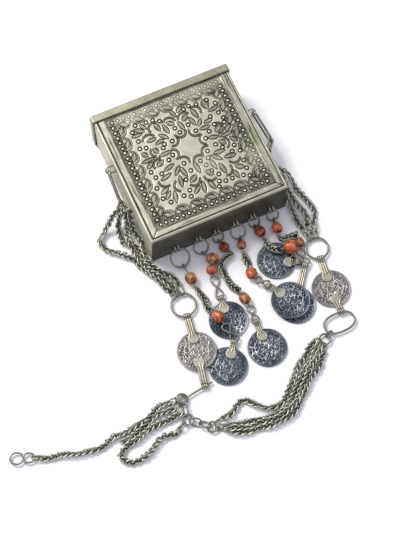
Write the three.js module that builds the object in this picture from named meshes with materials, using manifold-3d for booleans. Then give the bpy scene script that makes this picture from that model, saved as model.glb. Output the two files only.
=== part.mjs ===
// A silver amulet case for a small Quran, worn on the breast. A hollow sheet box with a chased front
// and a slip-on end cap hangs from neck chains, and coins on coral-beaded chains hang from its bottom edge.
// It lies on its back: X across the case, Y towards the cap, Z up, millimetres, origin under its middle.
import * as THREE from 'three';
import { mergeVertices } from 'three/addons/utils/BufferGeometryUtils.js';
import Module from 'manifold-3d';

// Case
const CASE_W = 80;
const CASE_H = 26;
const CASE_BOTTOM_Y = -41;
const CASE_MOUTH_Y = 39.9;
const SHEET = 1;
const FRONT_WALL = 1.8;
const EDGE_R = 1.2;
const GAP = 0.3;
const PLATE = { left: -38.4, right: 39.2, bottom: -39.3, top: 38.2, thick: 0.7 };
const LID_SHEET = 0.8;
const LID_EDGE_Y = 36.2;
const LID_TOP_Y = 41;

// Wire and rings
const RING_WIRE = 0.45;
const BIG_RING_WIRE = 0.55;
const HOOK_WIRE = 0.4;
const EYE_WIRE = 0.38;
const EYE_R = 1.3;
const EYE_BENDS = 8;
const WIRE_SIDES = 5;
const LIE_Z = 1.75;

// Staples on the bottom edge and bails at the sides
const STAPLE = { z: 6.6, reach: 2.2, half: 2.2, wire: 0.42, apart: 1.9 };
const RING_TOP_Y = -41.8;
const BAIL = { wire: 0.62, half: 2.7, eyeR: 1.5 };
const EYELET = { reach: 4.6, half: 1.7, wire: 0.5 };

// Chains, coins and their straps
const CHAIN_R = 1.3;
const CHAIN_Z = 1.42;
const CHAIN_SIDES = 8;
const CHAIN_STEP = 7.9;
const DROP_CHAIN_STEP = 3.5;
const STRAND_GAP = 0.25;
const COIN_R = 10.5;
const COIN_T = 1.2;
const COIN_SIDES = 24;
const LOOP_SIDES = 9;
const STRAP = { thick: 0.5, hole: 1.2, loop: 1.7, tab: 2.7, tabReach: 6.6 };
const FLOOR_GAP = 0.05;

const SILVER = { color: 0xa9a696, roughness: 0.42, metalness: 0.9 };
const DARK_SILVER = { color: 0x8e8c78, roughness: 0.5, metalness: 0.9 };
const COIN_SILVER = { color: 0x6a7078, roughness: 0.55, metalness: 0.8 };
const ORANGE_CORAL = { color: 0xd0603a, roughness: 0.45, metalness: 0 };
const BROWN_CORAL = { color: 0x8b5a40, roughness: 0.5, metalness: 0 };
const DARK_CORAL = { color: 0x7a2a1c, roughness: 0.5, metalness: 0 };

const TIDY = 0.03;
const wasm = await Module();
wasm.setup();
const part = new THREE.Group();
const UP = new THREE.Vector3(0, 0, 1);

// A point; a plan point without a height lies at the height of a chain on the surface.
function at(x, y, z = CHAIN_Z) {
  return new THREE.Vector3(x, y, z);
}

// A closed geometry as a solid for joining and cutting.
function solid(geometry) {
  const bare = geometry.clone();
  bare.deleteAttribute('normal');
  bare.deleteAttribute('uv');
  const merged = mergeVertices(bare);
  return new wasm.Manifold(new wasm.Mesh({
    numProp: 3,
    vertProperties: new Float32Array(merged.attributes.position.array),
    triVerts: new Uint32Array(merged.index.array),
  }));
}

// Several overlapping geometries soldered into one.
function solder(...geometries) {
  return geometries.map(solid).reduce((whole, next) => whole.add(next));
}

// Puts a finished piece into the object.
function add(name, shape, finish) {
  const mesh = shape.simplify(TIDY).getMesh();
  const geometry = new THREE.BufferGeometry();
  geometry.setAttribute('position', new THREE.BufferAttribute(mesh.vertProperties, 3));
  geometry.setIndex(new THREE.BufferAttribute(mesh.triVerts, 1));
  geometry.computeVertexNormals();
  const piece = new THREE.Mesh(geometry, new THREE.MeshStandardMaterial(finish));
  piece.name = name;
  part.add(piece);
}

// A box between two corners.
function block(low, high) {
  const size = new THREE.Vector3().subVectors(high, low);
  const middle = new THREE.Vector3().addVectors(low, high).multiplyScalar(0.5);
  return new THREE.BoxGeometry(size.x, size.y, size.z).translate(middle.x, middle.y, middle.z);
}

// A box along Y whose four long edges are rounded.
function roundedBox(low, high, radius) {
  const shape = new THREE.Shape();
  shape.moveTo(low.x + radius, low.z);
  shape.absarc(high.x - radius, low.z + radius, radius, -Math.PI / 2, 0);
  shape.absarc(high.x - radius, high.z - radius, radius, 0, Math.PI / 2);
  shape.absarc(low.x + radius, high.z - radius, radius, Math.PI / 2, Math.PI);
  shape.absarc(low.x + radius, low.z + radius, radius, Math.PI, Math.PI * 1.5);
  const depth = high.y - low.y;
  const bar = new THREE.ExtrudeGeometry(shape, { depth, bevelEnabled: false, curveSegments: 3 });
  return bar.rotateX(Math.PI / 2).translate(0, high.y, 0);
}

// A round or flattened section, its height first.
function section(height, width, sides) {
  const points = [];
  for (let i = 0; i < sides; i += 1) {
    const turn = ((i + 0.5) / sides) * Math.PI * 2;
    points.push(new THREE.Vector2(height * Math.cos(turn), width * Math.sin(turn)));
  }
  return new THREE.Shape(points);
}

// A section carried along a smooth curve through points.
function sweep(points, shape, steps) {
  const extrudePath = new THREE.CatmullRomCurve3(points, false, 'centripetal');
  return new THREE.ExtrudeGeometry(shape, { steps, bevelEnabled: false, extrudePath });
}

// A path that bends only at its own points.
class BentPath extends THREE.Curve {
  constructor(points) {
    super();
    this.points = points;
  }

  index(u) {
    return Math.round(u * (this.points.length - 1));
  }

  getPointAt(u) {
    return this.points[this.index(u)].clone();
  }

  getTangentAt(u) {
    const i = this.index(u);
    const here = this.points[i];
    const tangent = new THREE.Vector3();
    for (const [from, to] of [[this.points[i - 1], here], [here, this.points[i + 1]]]) {
      if (from && to) tangent.add(new THREE.Vector3().subVectors(to, from).normalize());
    }
    return tangent.normalize();
  }
}

// A round wire bent at points.
function bentWire(points, radius) {
  const extrudePath = new BentPath(points);
  const steps = points.length - 1;
  const round = section(radius, radius, WIRE_SIDES);
  return new THREE.ExtrudeGeometry(round, { steps, bevelEnabled: false, extrudePath });
}

// A straight round wire.
function rod(from, to, radius) {
  return bentWire([from, to], radius);
}

// A chain strand as a tube along its route.
function strandTube(points, step = CHAIN_STEP) {
  const length = new THREE.CatmullRomCurve3(points, false, 'centripetal').getLength();
  return sweep(points, section(CHAIN_R, CHAIN_R, CHAIN_SIDES), Math.round(length / step));
}

// Turns a geometry made in the XY plane so that its X follows a direction and its Z a normal.
function lay(geometry, centre, along, normal) {
  const x = along.clone().normalize();
  const z = normal.clone().addScaledVector(x, -normal.dot(x)).normalize();
  const y = new THREE.Vector3().crossVectors(z, x);
  return geometry.applyMatrix4(new THREE.Matrix4().makeBasis(x, y, z).setPosition(centre));
}

// A wire ring drawn out along X into a link whose straight sides are twice the draw.
function link(radius, wire, draw = 0, turns = 10) {
  const geometry = new THREE.TorusGeometry(radius, wire, WIRE_SIDES, turns);
  const position = geometry.attributes.position;
  for (let i = 0; i < position.count; i += 1) {
    const x = position.getX(i);
    position.setX(i, x + (Math.abs(x) < 1e-6 ? 0 : Math.sign(x) * draw));
  }
  return geometry;
}

// A link between two points that its bends pass through, lying in the plane square to the normal.
function linkBetween(from, to, radius, wire, normal) {
  const run = new THREE.Vector3().subVectors(to, from);
  const half = run.length() / 2;
  const bend = Math.min(radius, half);
  const middle = new THREE.Vector3().addVectors(from, to).multiplyScalar(0.5);
  return lay(link(bend, wire, half - bend), middle, run, normal);
}

// An eye pin: a shank from a far point runs to an eye bent three quarters of the way round a point.
// The eye stands upright unless a normal is given; then the shank keeps level until it is past the eye.
function eye(centre, shankEnd, radius = EYE_R, normal = null) {
  const along = new THREE.Vector3().subVectors(shankEnd, centre);
  along.addScaledVector(normal ?? UP, -along.dot(normal ?? UP)).normalize();
  const axis = normal ?? new THREE.Vector3().crossVectors(UP, along);
  const over = new THREE.Vector3().crossVectors(along, axis);
  const points = [shankEnd];
  if (normal) points.push(centre.clone().addScaledVector(over, radius).addScaledVector(along, radius + 1));
  for (let i = 0; i <= EYE_BENDS * 0.75; i += 1) {
    const turn = (i / EYE_BENDS) * Math.PI * 2;
    const point = centre.clone().addScaledVector(over, radius * Math.cos(turn));
    points.push(point.addScaledVector(along, -radius * Math.sin(turn)));
  }
  return bentWire(points, EYE_WIRE);
}

// A coin lying flat, with straps soldered on that fold round a wire at their far ends.
function coin(centre, straps) {
  const disc = new THREE.CylinderGeometry(COIN_R, COIN_R, COIN_T, COIN_SIDES).rotateX(Math.PI / 2);
  let whole = solid(disc.translate(centre.x, centre.y, centre.z + COIN_T / 2));
  const top = centre.z + COIN_T;
  for (const { end, width } of straps) {
    const level = new THREE.Vector3(end.x - centre.x, end.y - centre.y, 0);
    const reach = level.length();
    const outer = STRAP.hole + STRAP.thick;
    const side = new THREE.Vector3().crossVectors(UP, level);
    const fold = new THREE.CylinderGeometry(outer, outer, STRAP.loop, LOOP_SIDES).rotateX(Math.PI / 2);
    const hole = new THREE.CylinderGeometry(STRAP.hole, STRAP.hole, width, LOOP_SIDES).rotateX(Math.PI / 2);
    const bandLength = reach - STRAP.tabReach - STRAP.hole;
    const band = new THREE.BoxGeometry(bandLength, width, STRAP.thick);
    const bandMiddle = level.clone().normalize().multiplyScalar(STRAP.tabReach + bandLength / 2);
    bandMiddle.add(at(centre.x, centre.y, top + STRAP.thick / 2 - FLOOR_GAP));
    const tab = new THREE.CylinderGeometry(STRAP.tab, STRAP.tab, STRAP.thick, LOOP_SIDES);
    tab.rotateX(Math.PI / 2);
    const tabMiddle = level.clone().normalize().multiplyScalar(STRAP.tabReach);
    tabMiddle.add(at(centre.x, centre.y, top + STRAP.thick / 2 - FLOOR_GAP));
    whole = whole.add(solid(lay(band, bandMiddle, level, UP))).add(solid(lay(tab, tabMiddle, level, UP)));
    const neck = new THREE.BoxGeometry(STRAP.hole * 2, STRAP.loop, STRAP.thick);
    const neckMiddle = at(end.x, end.y, bandMiddle.z).addScaledVector(level.clone().normalize(), -STRAP.hole);
    whole = whole.add(solid(lay(neck, neckMiddle, level, UP)));
    whole = whole.add(solid(lay(fold, end, level, side))).subtract(solid(lay(hole, end, level, side)));
  }
  return whole;
}

// A coral bead: a round or flattened stone whose hole runs along its wire.
function stone(centre, along, radius, length) {
  const ball = new THREE.SphereGeometry(1, 10, 6).rotateZ(Math.PI / 2).scale(length, radius, radius);
  return lay(ball, centre, along, UP);
}

// The case: rounded sheet walls, a step at the back for the cap, a seat for the front plate,
// and the wire staples and side eyelets soldered on.
function makeCase() {
  const half = CASE_W / 2;
  const stepY = LID_EDGE_Y - GAP;
  const stepZ = LID_SHEET + GAP;
  const inner = half - SHEET;
  const ceiling = CASE_H - FRONT_WALL;
  let whole = solid(roundedBox(at(-half, CASE_BOTTOM_Y, 0), at(half, stepY, CASE_H), EDGE_R));
  const neckStart = stepY - 2 * SHEET;
  const neck = roundedBox(at(-half, neckStart, stepZ), at(half, CASE_MOUTH_Y, CASE_H), EDGE_R);
  whole = whole.add(solid(neck));
  const room = block(at(-inner, CASE_BOTTOM_Y + SHEET, SHEET), at(inner, stepY - SHEET, ceiling));
  const mouth = block(at(-inner, 0, stepZ + SHEET), at(inner, CASE_MOUTH_Y + 1, ceiling));
  whole = whole.subtract(solid(room)).subtract(solid(mouth));
  const seatLow = at(PLATE.left - GAP, PLATE.bottom - GAP, CASE_H - PLATE.thick - GAP);
  whole = whole.subtract(solid(block(seatLow, at(PLATE.right + GAP, CASE_MOUTH_Y + 1, CASE_H + 1))));
  for (const { x } of DROPS) {
    for (const side of [-1, 1]) {
      const wireX = x + (side * STAPLE.apart) / 2;
      whole = whole.add(solid(halfLoop(STAPLE, (out, across) =>
        at(wireX, CASE_BOTTOM_Y - out, STAPLE.z + across))));
    }
  }
  for (const { side, hinge, end } of BAILS) {
    const lean = new THREE.Vector3().subVectors(hinge, end).setX(0).normalize();
    whole = whole.add(solid(halfLoop(EYELET, (out, across) =>
      at(side * (half + out), hinge.y + lean.y * across, hinge.z + lean.z * across))));
  }
  add('case_body', whole, SILVER);
}

// A loop of wire standing out of a wall, its feet let into the sheet.
function halfLoop({ reach, half, wire }, place) {
  const points = [place(-SHEET / 2, half)];
  for (let i = 0; i <= 4; i += 1) {
    const turn = Math.PI / 2 - (i / 4) * Math.PI;
    points.push(place(reach - half + half * Math.cos(turn), half * Math.sin(turn)));
  }
  points.push(place(-SHEET / 2, -half));
  return bentWire(points, wire);
}

function makeFrontPlate() {
  const low = at(PLATE.left, PLATE.bottom, CASE_H - PLATE.thick);
  add('front_plate', solid(block(low, at(PLATE.right, PLATE.top, CASE_H))), SILVER);
}

// The cap slips over the mouth of the case; at the back it lies in the step, flush with the case.
function makeLid() {
  const half = CASE_W / 2 + GAP;
  const outside = half + LID_SHEET;
  const high = at(outside, LID_TOP_Y, CASE_H + GAP + LID_SHEET);
  const outer = roundedBox(at(-outside, LID_EDGE_Y, 0), high, EDGE_R);
  const inner = block(at(-half, LID_EDGE_Y - 1, LID_SHEET), at(half, LID_TOP_Y - LID_SHEET, CASE_H + GAP));
  add('lid', solid(outer).subtract(solid(inner)), SILVER);
}

// Long wire bails: hinge is the bend in the eyelet, end the bend that holds the chains.
const BAILS = [
  { name: 'side_bail_left', side: -1, hinge: at(-43.2, 9.9, 20), end: at(-43.4, -7.1, 12.2) },
  { name: 'side_bail_right', side: 1, hinge: at(43.2, 10.3, 20), end: at(46.4, -7.2, 13.8) },
];

function makeBails() {
  for (const { name, hinge, end } of BAILS) {
    const run = new THREE.Vector3().subVectors(end, hinge);
    const flat = new THREE.Vector3().crossVectors(run, UP);
    add(name, solid(linkBetween(hinge, end, BAIL.half, BAIL.wire, flat)), SILVER);
  }
}

// The point of a bail's lower bend at an angle above or below its tip, and the way across the bail there.
function onBail(name, degrees) {
  const { hinge, end } = BAILS.find((bail) => bail.name === name);
  const run = new THREE.Vector3().subVectors(end, hinge).normalize();
  const rise = UP.clone().addScaledVector(run, -UP.dot(run)).normalize();
  const turn = THREE.MathUtils.degToRad(degrees);
  const point = end.clone().addScaledVector(run, BAIL.half * (Math.cos(turn) - 1));
  return { point: point.addScaledVector(rise, BAIL.half * Math.sin(turn)), rise };
}

// The drops, from left to right along the bottom edge. Beads have their place, radius and half length,
// hooks the two ends of the wire below the lower bead: it is bent into two loops, or one wide one where a
// width is given, and the last holds the coin's strap.
const DROPS = [
  {
    x: -26, ring: 10.4, eyeZ: LIE_Z,
    upper: {
      at: at(-25.4, -59.4, 3.25), radius: 3.2, length: 3.2, finish: BROWN_CORAL,
      tail: at(-25.2, -64.8, LIE_Z),
    },
    chain: [at(-25.1, -66.8), at(-24.5, -71), at(-24.2, -75.5, 1.6), at(-23.7, -79.4, 2.85)],
    lower: {
      at: at(-21.4, -85.6, 4.75), radius: 3.3, length: 3.4, finish: ORANGE_CORAL,
      eye: at(-23, -81.4, 3.2),
    },
    hook: [at(-20.2, -90.4, 3.3), at(-17.8, -101.6)],
    coin: at(-27.6, -111.7, FLOOR_GAP),
  },
  {
    x: -13, ring: 8.2, eyeZ: LIE_Z,
    upper: { at: at(-10.4, -54, 3.55), radius: 3.5, length: 3.3, finish: BROWN_CORAL },
    lower: { at: at(-13.4, -59.7, 3.55), radius: 3.4, length: 2.3, finish: ORANGE_CORAL },
    hook: [at(-13.8, -63), at(-15.4, -75.8)],
    coin: at(-16.6, -88.4, FLOOR_GAP),
  },
  {
    x: -2.3, ring: 6.2, eyeZ: LIE_Z,
    upper: {
      at: at(-1.5, -49.9, 2.95), radius: 2.9, length: 2.8, finish: DARK_CORAL,
      tail: at(0.6, -53.6, LIE_Z),
    },
    chain: [at(-0.2, -55.6), at(-3.4, -56.2), at(-7.1, -58.2), at(-8.4, -60.6), at(-9, -64.5), at(-7.4, -70),
      at(-4.8, -75.2)],
    lower: {
      at: at(-3.9, -81.6, 3.15), radius: 3.1, length: 3.1, finish: BROWN_CORAL,
      eye: at(-4.3, -77.1, LIE_Z),
    },
    hook: [at(-3.2, -86.4), at(-3.9, -95.8)],
    coin: at(-4.3, -110.9, FLOOR_GAP),
  },
  {
    x: 9, ring: 8.4, eyeZ: LIE_Z,
    upper: {
      at: at(7.7, -52.6, 2.75), radius: 2.7, length: 2.7, finish: BROWN_CORAL,
      tail: at(6.8, -56.6, LIE_Z),
    },
    chain: [at(6.5, -58.5), at(6.4, -61), at(6.5, -64)],
    lower: {
      at: at(5.5, -70, 3.25), radius: 3.2, length: 3.2, finish: ORANGE_CORAL,
      eye: at(6.4, -65.8, LIE_Z),
    },
    hook: [at(6.6, -73.8, 2.3), at(11.2, -80, 2.3)],
    coin: at(18.1, -92.6, 2.15),
  },
  {
    x: 19.3, ring: 6.2, eyeZ: LIE_Z,
    upper: {
      at: at(19.9, -49.8, 3.45), radius: 3.4, length: 3.1, finish: DARK_CORAL,
      tail: at(20.6, -54.4, LIE_Z),
    },
    chain: [at(20.5, -56.3, 2.8), at(20.4, -58.6, 2.8), at(21.9, -61.5, 2.8), at(25.1, -63.6, 2.8)],
    lower: {
      at: at(30.8, -65.4, 5.15), radius: 3.7, length: 3.6, finish: ORANGE_CORAL,
      eye: at(26.9, -64.3, 3.1),
    },
    hook: [at(30.4, -69.8, 2.5), at(29.2, -75, 2.5)], hookHalf: 2,
    coin: at(21.3, -68, FLOOR_GAP),
  },
  {
    x: 30.4, ring: 6.6, eyeZ: LIE_Z,
    upper: {
      at: at(29.5, -51.6, 3.25), radius: 3.2, length: 3.1, finish: ORANGE_CORAL,
      tail: at(28.7, -55.9, LIE_Z),
    },
    chain: [at(28.9, -58), at(31, -59.5), at(34, -59.5), at(37, -59.3)],
    lower: {
      at: at(37.2, -64.3, 2.65), radius: 2.6, length: 2.7, finish: BROWN_CORAL,
      eye: at(37.9, -60.4, LIE_Z),
    },
    hook: [at(35.2, -67.6), at(35.3, -77.4)],
    coin: at(20, -95.4, FLOOR_GAP),
  },
];

const BORE_R = EYE_WIRE + 0.45;
const COIN_STRAP_W = 2.4;
const HOOK_HALF = 1.6;

function makeDrop(drop, number) {
  const name = (piece) => `drop_${number}_${piece}`;
  const fall = STAPLE.z - drop.eyeZ;
  const lean = Math.asin(fall / drop.ring);
  const down = at(0, -Math.cos(lean), -Math.sin(lean));
  const top = at(drop.x, RING_TOP_Y, STAPLE.z);
  const foot = top.clone().addScaledVector(down, drop.ring);
  const middle = top.clone().addScaledVector(down, drop.ring / 2);
  const flat = new THREE.Vector3().crossVectors(at(1, 0, 0), down).negate();
  add(name('ring'), solid(lay(link(drop.ring / 2, RING_WIRE, 0, 12), middle, at(1, 0, 0), flat)), SILVER);

  const { upper, lower } = drop;
  const upperRun = new THREE.Vector3().subVectors(upper.at, foot);
  const lowerRun = new THREE.Vector3().subVectors(lower.at, lower.eye ?? upper.at);
  const upperStone = stone(upper.at, upperRun, upper.radius, upper.length);
  const lowerParts = [stone(lower.at, lowerRun, lower.radius, lower.length)];
  if (upper.tail) {
    add(name('upper_bead'), solder(upperStone, eye(foot, upper.at), eye(upper.tail, upper.at)), upper.finish);
    add(name('chain'), solid(strandTube(drop.chain, DROP_CHAIN_STEP)), DARK_SILVER);
    lowerParts.push(eye(lower.eye, lower.at));
  } else {
    const elbow = new THREE.SphereGeometry(BORE_R, 8, 5).translate(...upper.at);
    const shankTop = foot.clone().addScaledVector(UP, EYE_R);
    const bore = solder(elbow, rod(shankTop, upper.at, BORE_R), rod(upper.at, lower.at, BORE_R));
    add(name('upper_bead'), solid(upperStone).subtract(bore), upper.finish);
    lowerParts.push(eye(foot, upper.at), rod(upper.at, lower.at, EYE_WIRE));
  }
  const [from, to] = drop.hook.map((p) => (p.z === CHAIN_Z ? p.clone().setZ(LIE_Z) : p));
  const half = drop.hookHalf ?? HOOK_HALF;
  const waist = new THREE.Vector3().addVectors(from, to).multiplyScalar(0.5);
  lowerParts.push(rod(lower.at, from, HOOK_WIRE));
  const bends = drop.hookHalf ? [from, to] : [from, waist, to];
  bends.slice(1).forEach((point, i) => {
    lowerParts.push(linkBetween(bends[i], point, half, HOOK_WIRE, UP));
  });
  add(name('lower_bead'), solder(...lowerParts), lower.finish);
  const end = strapPoint(from, to, half, drop.coin);
  add(name('coin'), coin(drop.coin, [{ end, width: COIN_STRAP_W }]), COIN_SILVER);
}

// Where a coin's strap takes hold of a hook: the place on its last bend that lies square to the strap.
function strapPoint(from, to, half, centre) {
  const run = new THREE.Vector3().subVectors(to, from).normalize();
  const pull = new THREE.Vector3().subVectors(to, centre).setZ(0);
  pull.normalize();
  const outward = pull.multiplyScalar(Math.sign(pull.dot(run)));
  return to.clone().addScaledVector(run, -half).addScaledVector(outward, half);
}

// The large flat rings of the neck chain, with the two coins hung between them.
const NECK_RINGS = [
  { name: 'neck_ring_left', at: at(-35.1, -71.2, LIE_Z), radius: 6.6, draw: 0 },
  { name: 'neck_ring_right', at: at(44.4, -70.9, LIE_Z), radius: 6.2, draw: 0 },
  { name: 'neck_ring_lower', at: at(36.5, -114.3, LIE_Z), radius: 5.2, draw: 3.3 },
  { name: 'ring_lower_right', at: at(25.2, -119.6, LIE_Z), radius: 3, draw: 0 },
  { name: 'ring_lower_left', at: at(-48.8, -138.6, LIE_Z), radius: 2.7, draw: 0 },
  { name: 'ring_middle', at: at(-58.9, -129.9, LIE_Z), radius: 2.9, draw: 0 },
];
const NECK_COINS = [
  {
    name: 'neck_coin_left', at: at(-39.3, -97.7, 1.45),
    straps: [at(-36.1, -77.7, LIE_Z), at(-43.5, -117, LIE_Z)],
  },
  {
    name: 'neck_coin_right', at: at(41.3, -94.8, FLOOR_GAP),
    straps: [at(43.6, -77.05, LIE_Z), at(40, -109.1, LIE_Z)],
  },
];
const NECK_STRAP_W = 2.6;
const STEEP_LINKS = [
  { name: 'link_lower_right', from: at(30.4, -116.9, LIE_Z), to: at(26.7, -118.85, LIE_Z), half: 1.3 },
  { name: 'link_lower_left', from: at(-57.65, -131, LIE_Z), to: at(-49.9, -137.6, LIE_Z), half: 1.3 },
  { name: 'link_hub', from: at(-57, -120, LIE_Z), to: at(-58.8, -128.2, LIE_Z), half: 1.3 },
];

function makeNeckRings() {
  for (const ring of NECK_RINGS) {
    const wire = ring.radius > 5 ? BIG_RING_WIRE : RING_WIRE;
    const turns = ring.radius > 5 ? 16 : 10;
    add(ring.name, solid(lay(link(ring.radius, wire, ring.draw, turns), ring.at, at(1, 0, 0), UP)), SILVER);
  }
  for (const { name, at: centre, straps } of NECK_COINS) {
    add(name, coin(centre, straps.map((end) => ({ end, width: NECK_STRAP_W }))), COIN_SILVER);
  }
  for (const { name, from, to, half } of STEEP_LINKS) {
    const side = new THREE.Vector3().crossVectors(UP, new THREE.Vector3().subVectors(to, from));
    add(name, solid(linkBetween(from, to, half, HOOK_WIRE, side)), SILVER);
  }
}

// Plan points moved sideways by a distance, to the left of the way they run.
function beside(points, distance) {
  return points.map((point, i) => {
    const before = points[Math.max(0, i - 1)];
    const after = points[Math.min(points.length - 1, i + 1)];
    const run = new THREE.Vector3().subVectors(after, before).setZ(0).normalize();
    return new THREE.Vector3(point.x - run.y * distance, point.y + run.x * distance, point.z);
  });
}

// The point of a ring's wire at an angle, in degrees from +X.
function onRing(name, degrees) {
  const ring = NECK_RINGS.find((r) => r.name === name);
  const turn = THREE.MathUtils.degToRad(degrees);
  return at(ring.at.x + ring.radius * Math.cos(turn), ring.at.y + ring.radius * Math.sin(turn), LIE_Z);
}

// A chain strand with a wire eye at each end: upright on a lying ring, flat on a bail.
function makeStrand(name, points, { start, bail, end }) {
  const parts = [strandTube(points)];
  if (start) parts.push(eye(start, points[0]));
  if (bail) parts.push(eye(bail.point, points[0], BAIL.eyeR, bail.rise));
  if (end) parts.push(eye(end, points.at(-1)));
  add(name, solder(...parts), DARK_SILVER);
}

// Left strands: each has its own way from the bail, then they run together round the corner of the
// case to the left ring, three side by side and the second on top between the first and third.
const SPACING = 2 * CHAIN_R + STRAND_GAP;
const UPPER_Z = CHAIN_Z + SPACING * Math.sin(Math.PI / 3) + STRAND_GAP / 2;
const LEFT_RUN = [at(-46.6, -36), at(-46.6, -40.6), at(-43.8, -47), at(-39.8, -53.4), at(-36.9, -60.4)];
const LEFT_STRANDS = [
  {
    lead: [at(-46, -10.5, 12.8), at(-49, -11.4, 10.8), at(-53, -13.2, 5.8), at(-57.5, -15.6, 1.8),
      at(-61.4, -17.6), at(-62.4, -20.4), at(-60.8, -24.4), at(-56.4, -28.2), at(-51.4, -32)],
    side: -0.5, z: CHAIN_Z, tilt: 33, degrees: 116,
  },
  {
    lead: [at(-43.6, -12.6, 9.8), at(-44.4, -15.2, 6), at(-45.4, -17.8, 2.9), at(-45.6, -20.4, 2.6),
      at(-46.2, -23.6, 4.8), at(-47, -28, 4.8), at(-47, -32, 4.2)],
    side: 0, z: UPPER_Z, tilt: -11, degrees: 102,
  },
  {
    lead: [at(-46.2, -12.2, 7.6), at(-48, -14.2, 4.4), at(-49, -17.4, 1.7), at(-49.8, -21), at(-49.8, -25),
      at(-46.8, -26.6), at(-45.2, -30.4)],
    side: 0.5, z: CHAIN_Z, tilt: -33, degrees: 88,
  },
  {
    lead: [at(-41.8, -13.6, 12.4), at(-41.8, -17, 8.6), at(-42, -22, 3.4), at(-42, -28, 1.6), at(-42.4, -33)],
    side: 1.57, z: CHAIN_Z, tilt: 11, degrees: 70,
  },
];

function makeLeftStrands() {
  LEFT_STRANDS.forEach(({ lead, side, z, tilt, degrees }, i) => {
    const run = beside(LEFT_RUN, side * SPACING).map((point) => point.setZ(z));
    const eyes = { bail: onBail('side_bail_left', tilt), end: onRing('neck_ring_left', degrees) };
    makeStrand(`neck_chain_left_${i + 1}`, [...lead, ...run], eyes);
  });
}

// Right strands, from the bail down beside the case and out to the right ring.
const RIGHT_STRANDS = [
  {
    route: [at(42.4, -11.8, 14.8), at(42, -16, 11.4), at(43.2, -20.8, 8), at(46.8, -25, 5.8),
      at(49, -29.4, 3.1), at(49.8, -33.6), at(51.6, -38.5), at(53, -44.5), at(51.8, -50.5), at(49.6, -56)],
    tilt: 30, degrees: 66,
  },
  {
    route: [at(41.9, -12, 10.4), at(42, -15.8, 7.2), at(42, -19.6, 4.6), at(44.6, -24.4, 3.9),
      at(45.5, -30.6, 1.6), at(45.8, -36), at(46.5, -43), at(46.6, -50), at(45.8, -56)],
    tilt: 0, degrees: 87,
  },
  {
    route: [at(42.4, -11.2, 6.6), at(42, -15, 3.4), at(42, -20, 1.7), at(42, -30), at(42, -40), at(42, -46),
      at(42.4, -52), at(42.4, -56.6)],
    tilt: -30, degrees: 108,
  },
];

// Strands of the back of the neck: three that lie together and one that strays from them.
const LOWER_RUN = [at(19.8, -124.2), at(13, -130), at(5, -137), at(-4, -143.8), at(-12, -147.4),
  at(-20, -148.2), at(-30, -146.8), at(-39.4, -143.6)];
const LOOSE_RUN = [at(19.6, -118.4), at(14.4, -120.4), at(8, -125.4), at(1, -132.8), at(-7.4, -139.2),
  at(-13.6, -141.4), at(-18.4, -141), at(-21.4, -138.8), at(-24.4, -136.2), at(-28, -133.2),
  at(-32.6, -133.4), at(-37, -135.6), at(-41.6, -136.6)];

// Spare lengths: a free end with its hook, a short one, and one that turns back.
const PIN = { tip: at(-39.2, -116.6, LIE_Z), loop: at(-57.3, -118.6, LIE_Z), radius: 3 };
const SPARE_STRANDS = [
  {
    name: 'spare_chain_long', degrees: 165,
    route: [at(-63.8, -117.6), at(-70.6, -117.4), at(-78, -119.8), at(-85.4, -122.4), at(-92.6, -123.6),
      at(-97.6, -123.2), at(-104, -124), at(-115, -123.6), at(-123, -121.8), at(-130, -119.6),
      at(-136.4, -116.9)],
    end: at(-138.9, -115.6, LIE_Z),
  },
  {
    name: 'spare_chain_short', degrees: 199,
    route: [at(-63.6, -121.6), at(-70, -121), at(-78, -123.2), at(-86, -126), at(-93.6, -127)],
  },
  {
    name: 'spare_chain_back', degrees: 233,
    route: [at(-61.6, -125.2), at(-66, -125.6), at(-72, -124.8), at(-79, -127), at(-87, -129.4),
      at(-94, -130.4), at(-98.4, -132), at(-98.2, -135.6), at(-93.6, -139), at(-87.6, -138.6),
      at(-82, -136), at(-77.6, -134.2), at(-72.6, -133.4), at(-67.4, -134.2)],
    end: at(-61.5, -131.1, LIE_Z),
  },
];
const END_HOOK = [at(-138.7, -115.8, LIE_Z), at(-144, -113.7, LIE_Z), at(-150.2, -111.4, LIE_Z)];
const END_HOOK_HALF = [2.5, 3];
const BUNDLE_EYES = [
  { ring: 'ring_lower_right', degrees: 200, near: LOWER_RUN[0], far: LOWER_RUN[1], side: -2.6 },
  { ring: 'ring_lower_right', degrees: 240, near: LOWER_RUN[0], far: LOWER_RUN[1], side: 2.6 },
  { ring: 'ring_lower_left', degrees: -10, near: LOWER_RUN.at(-1), far: LOWER_RUN.at(-2), side: 2.6 },
  { ring: 'ring_lower_left', degrees: -45, near: LOWER_RUN.at(-1), far: LOWER_RUN.at(-2), side: -2.6 },
];
const BUNDLE = { halfWidth: 4.1, halfHeight: 1.35, sides: 10, steps: 14 };

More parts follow.
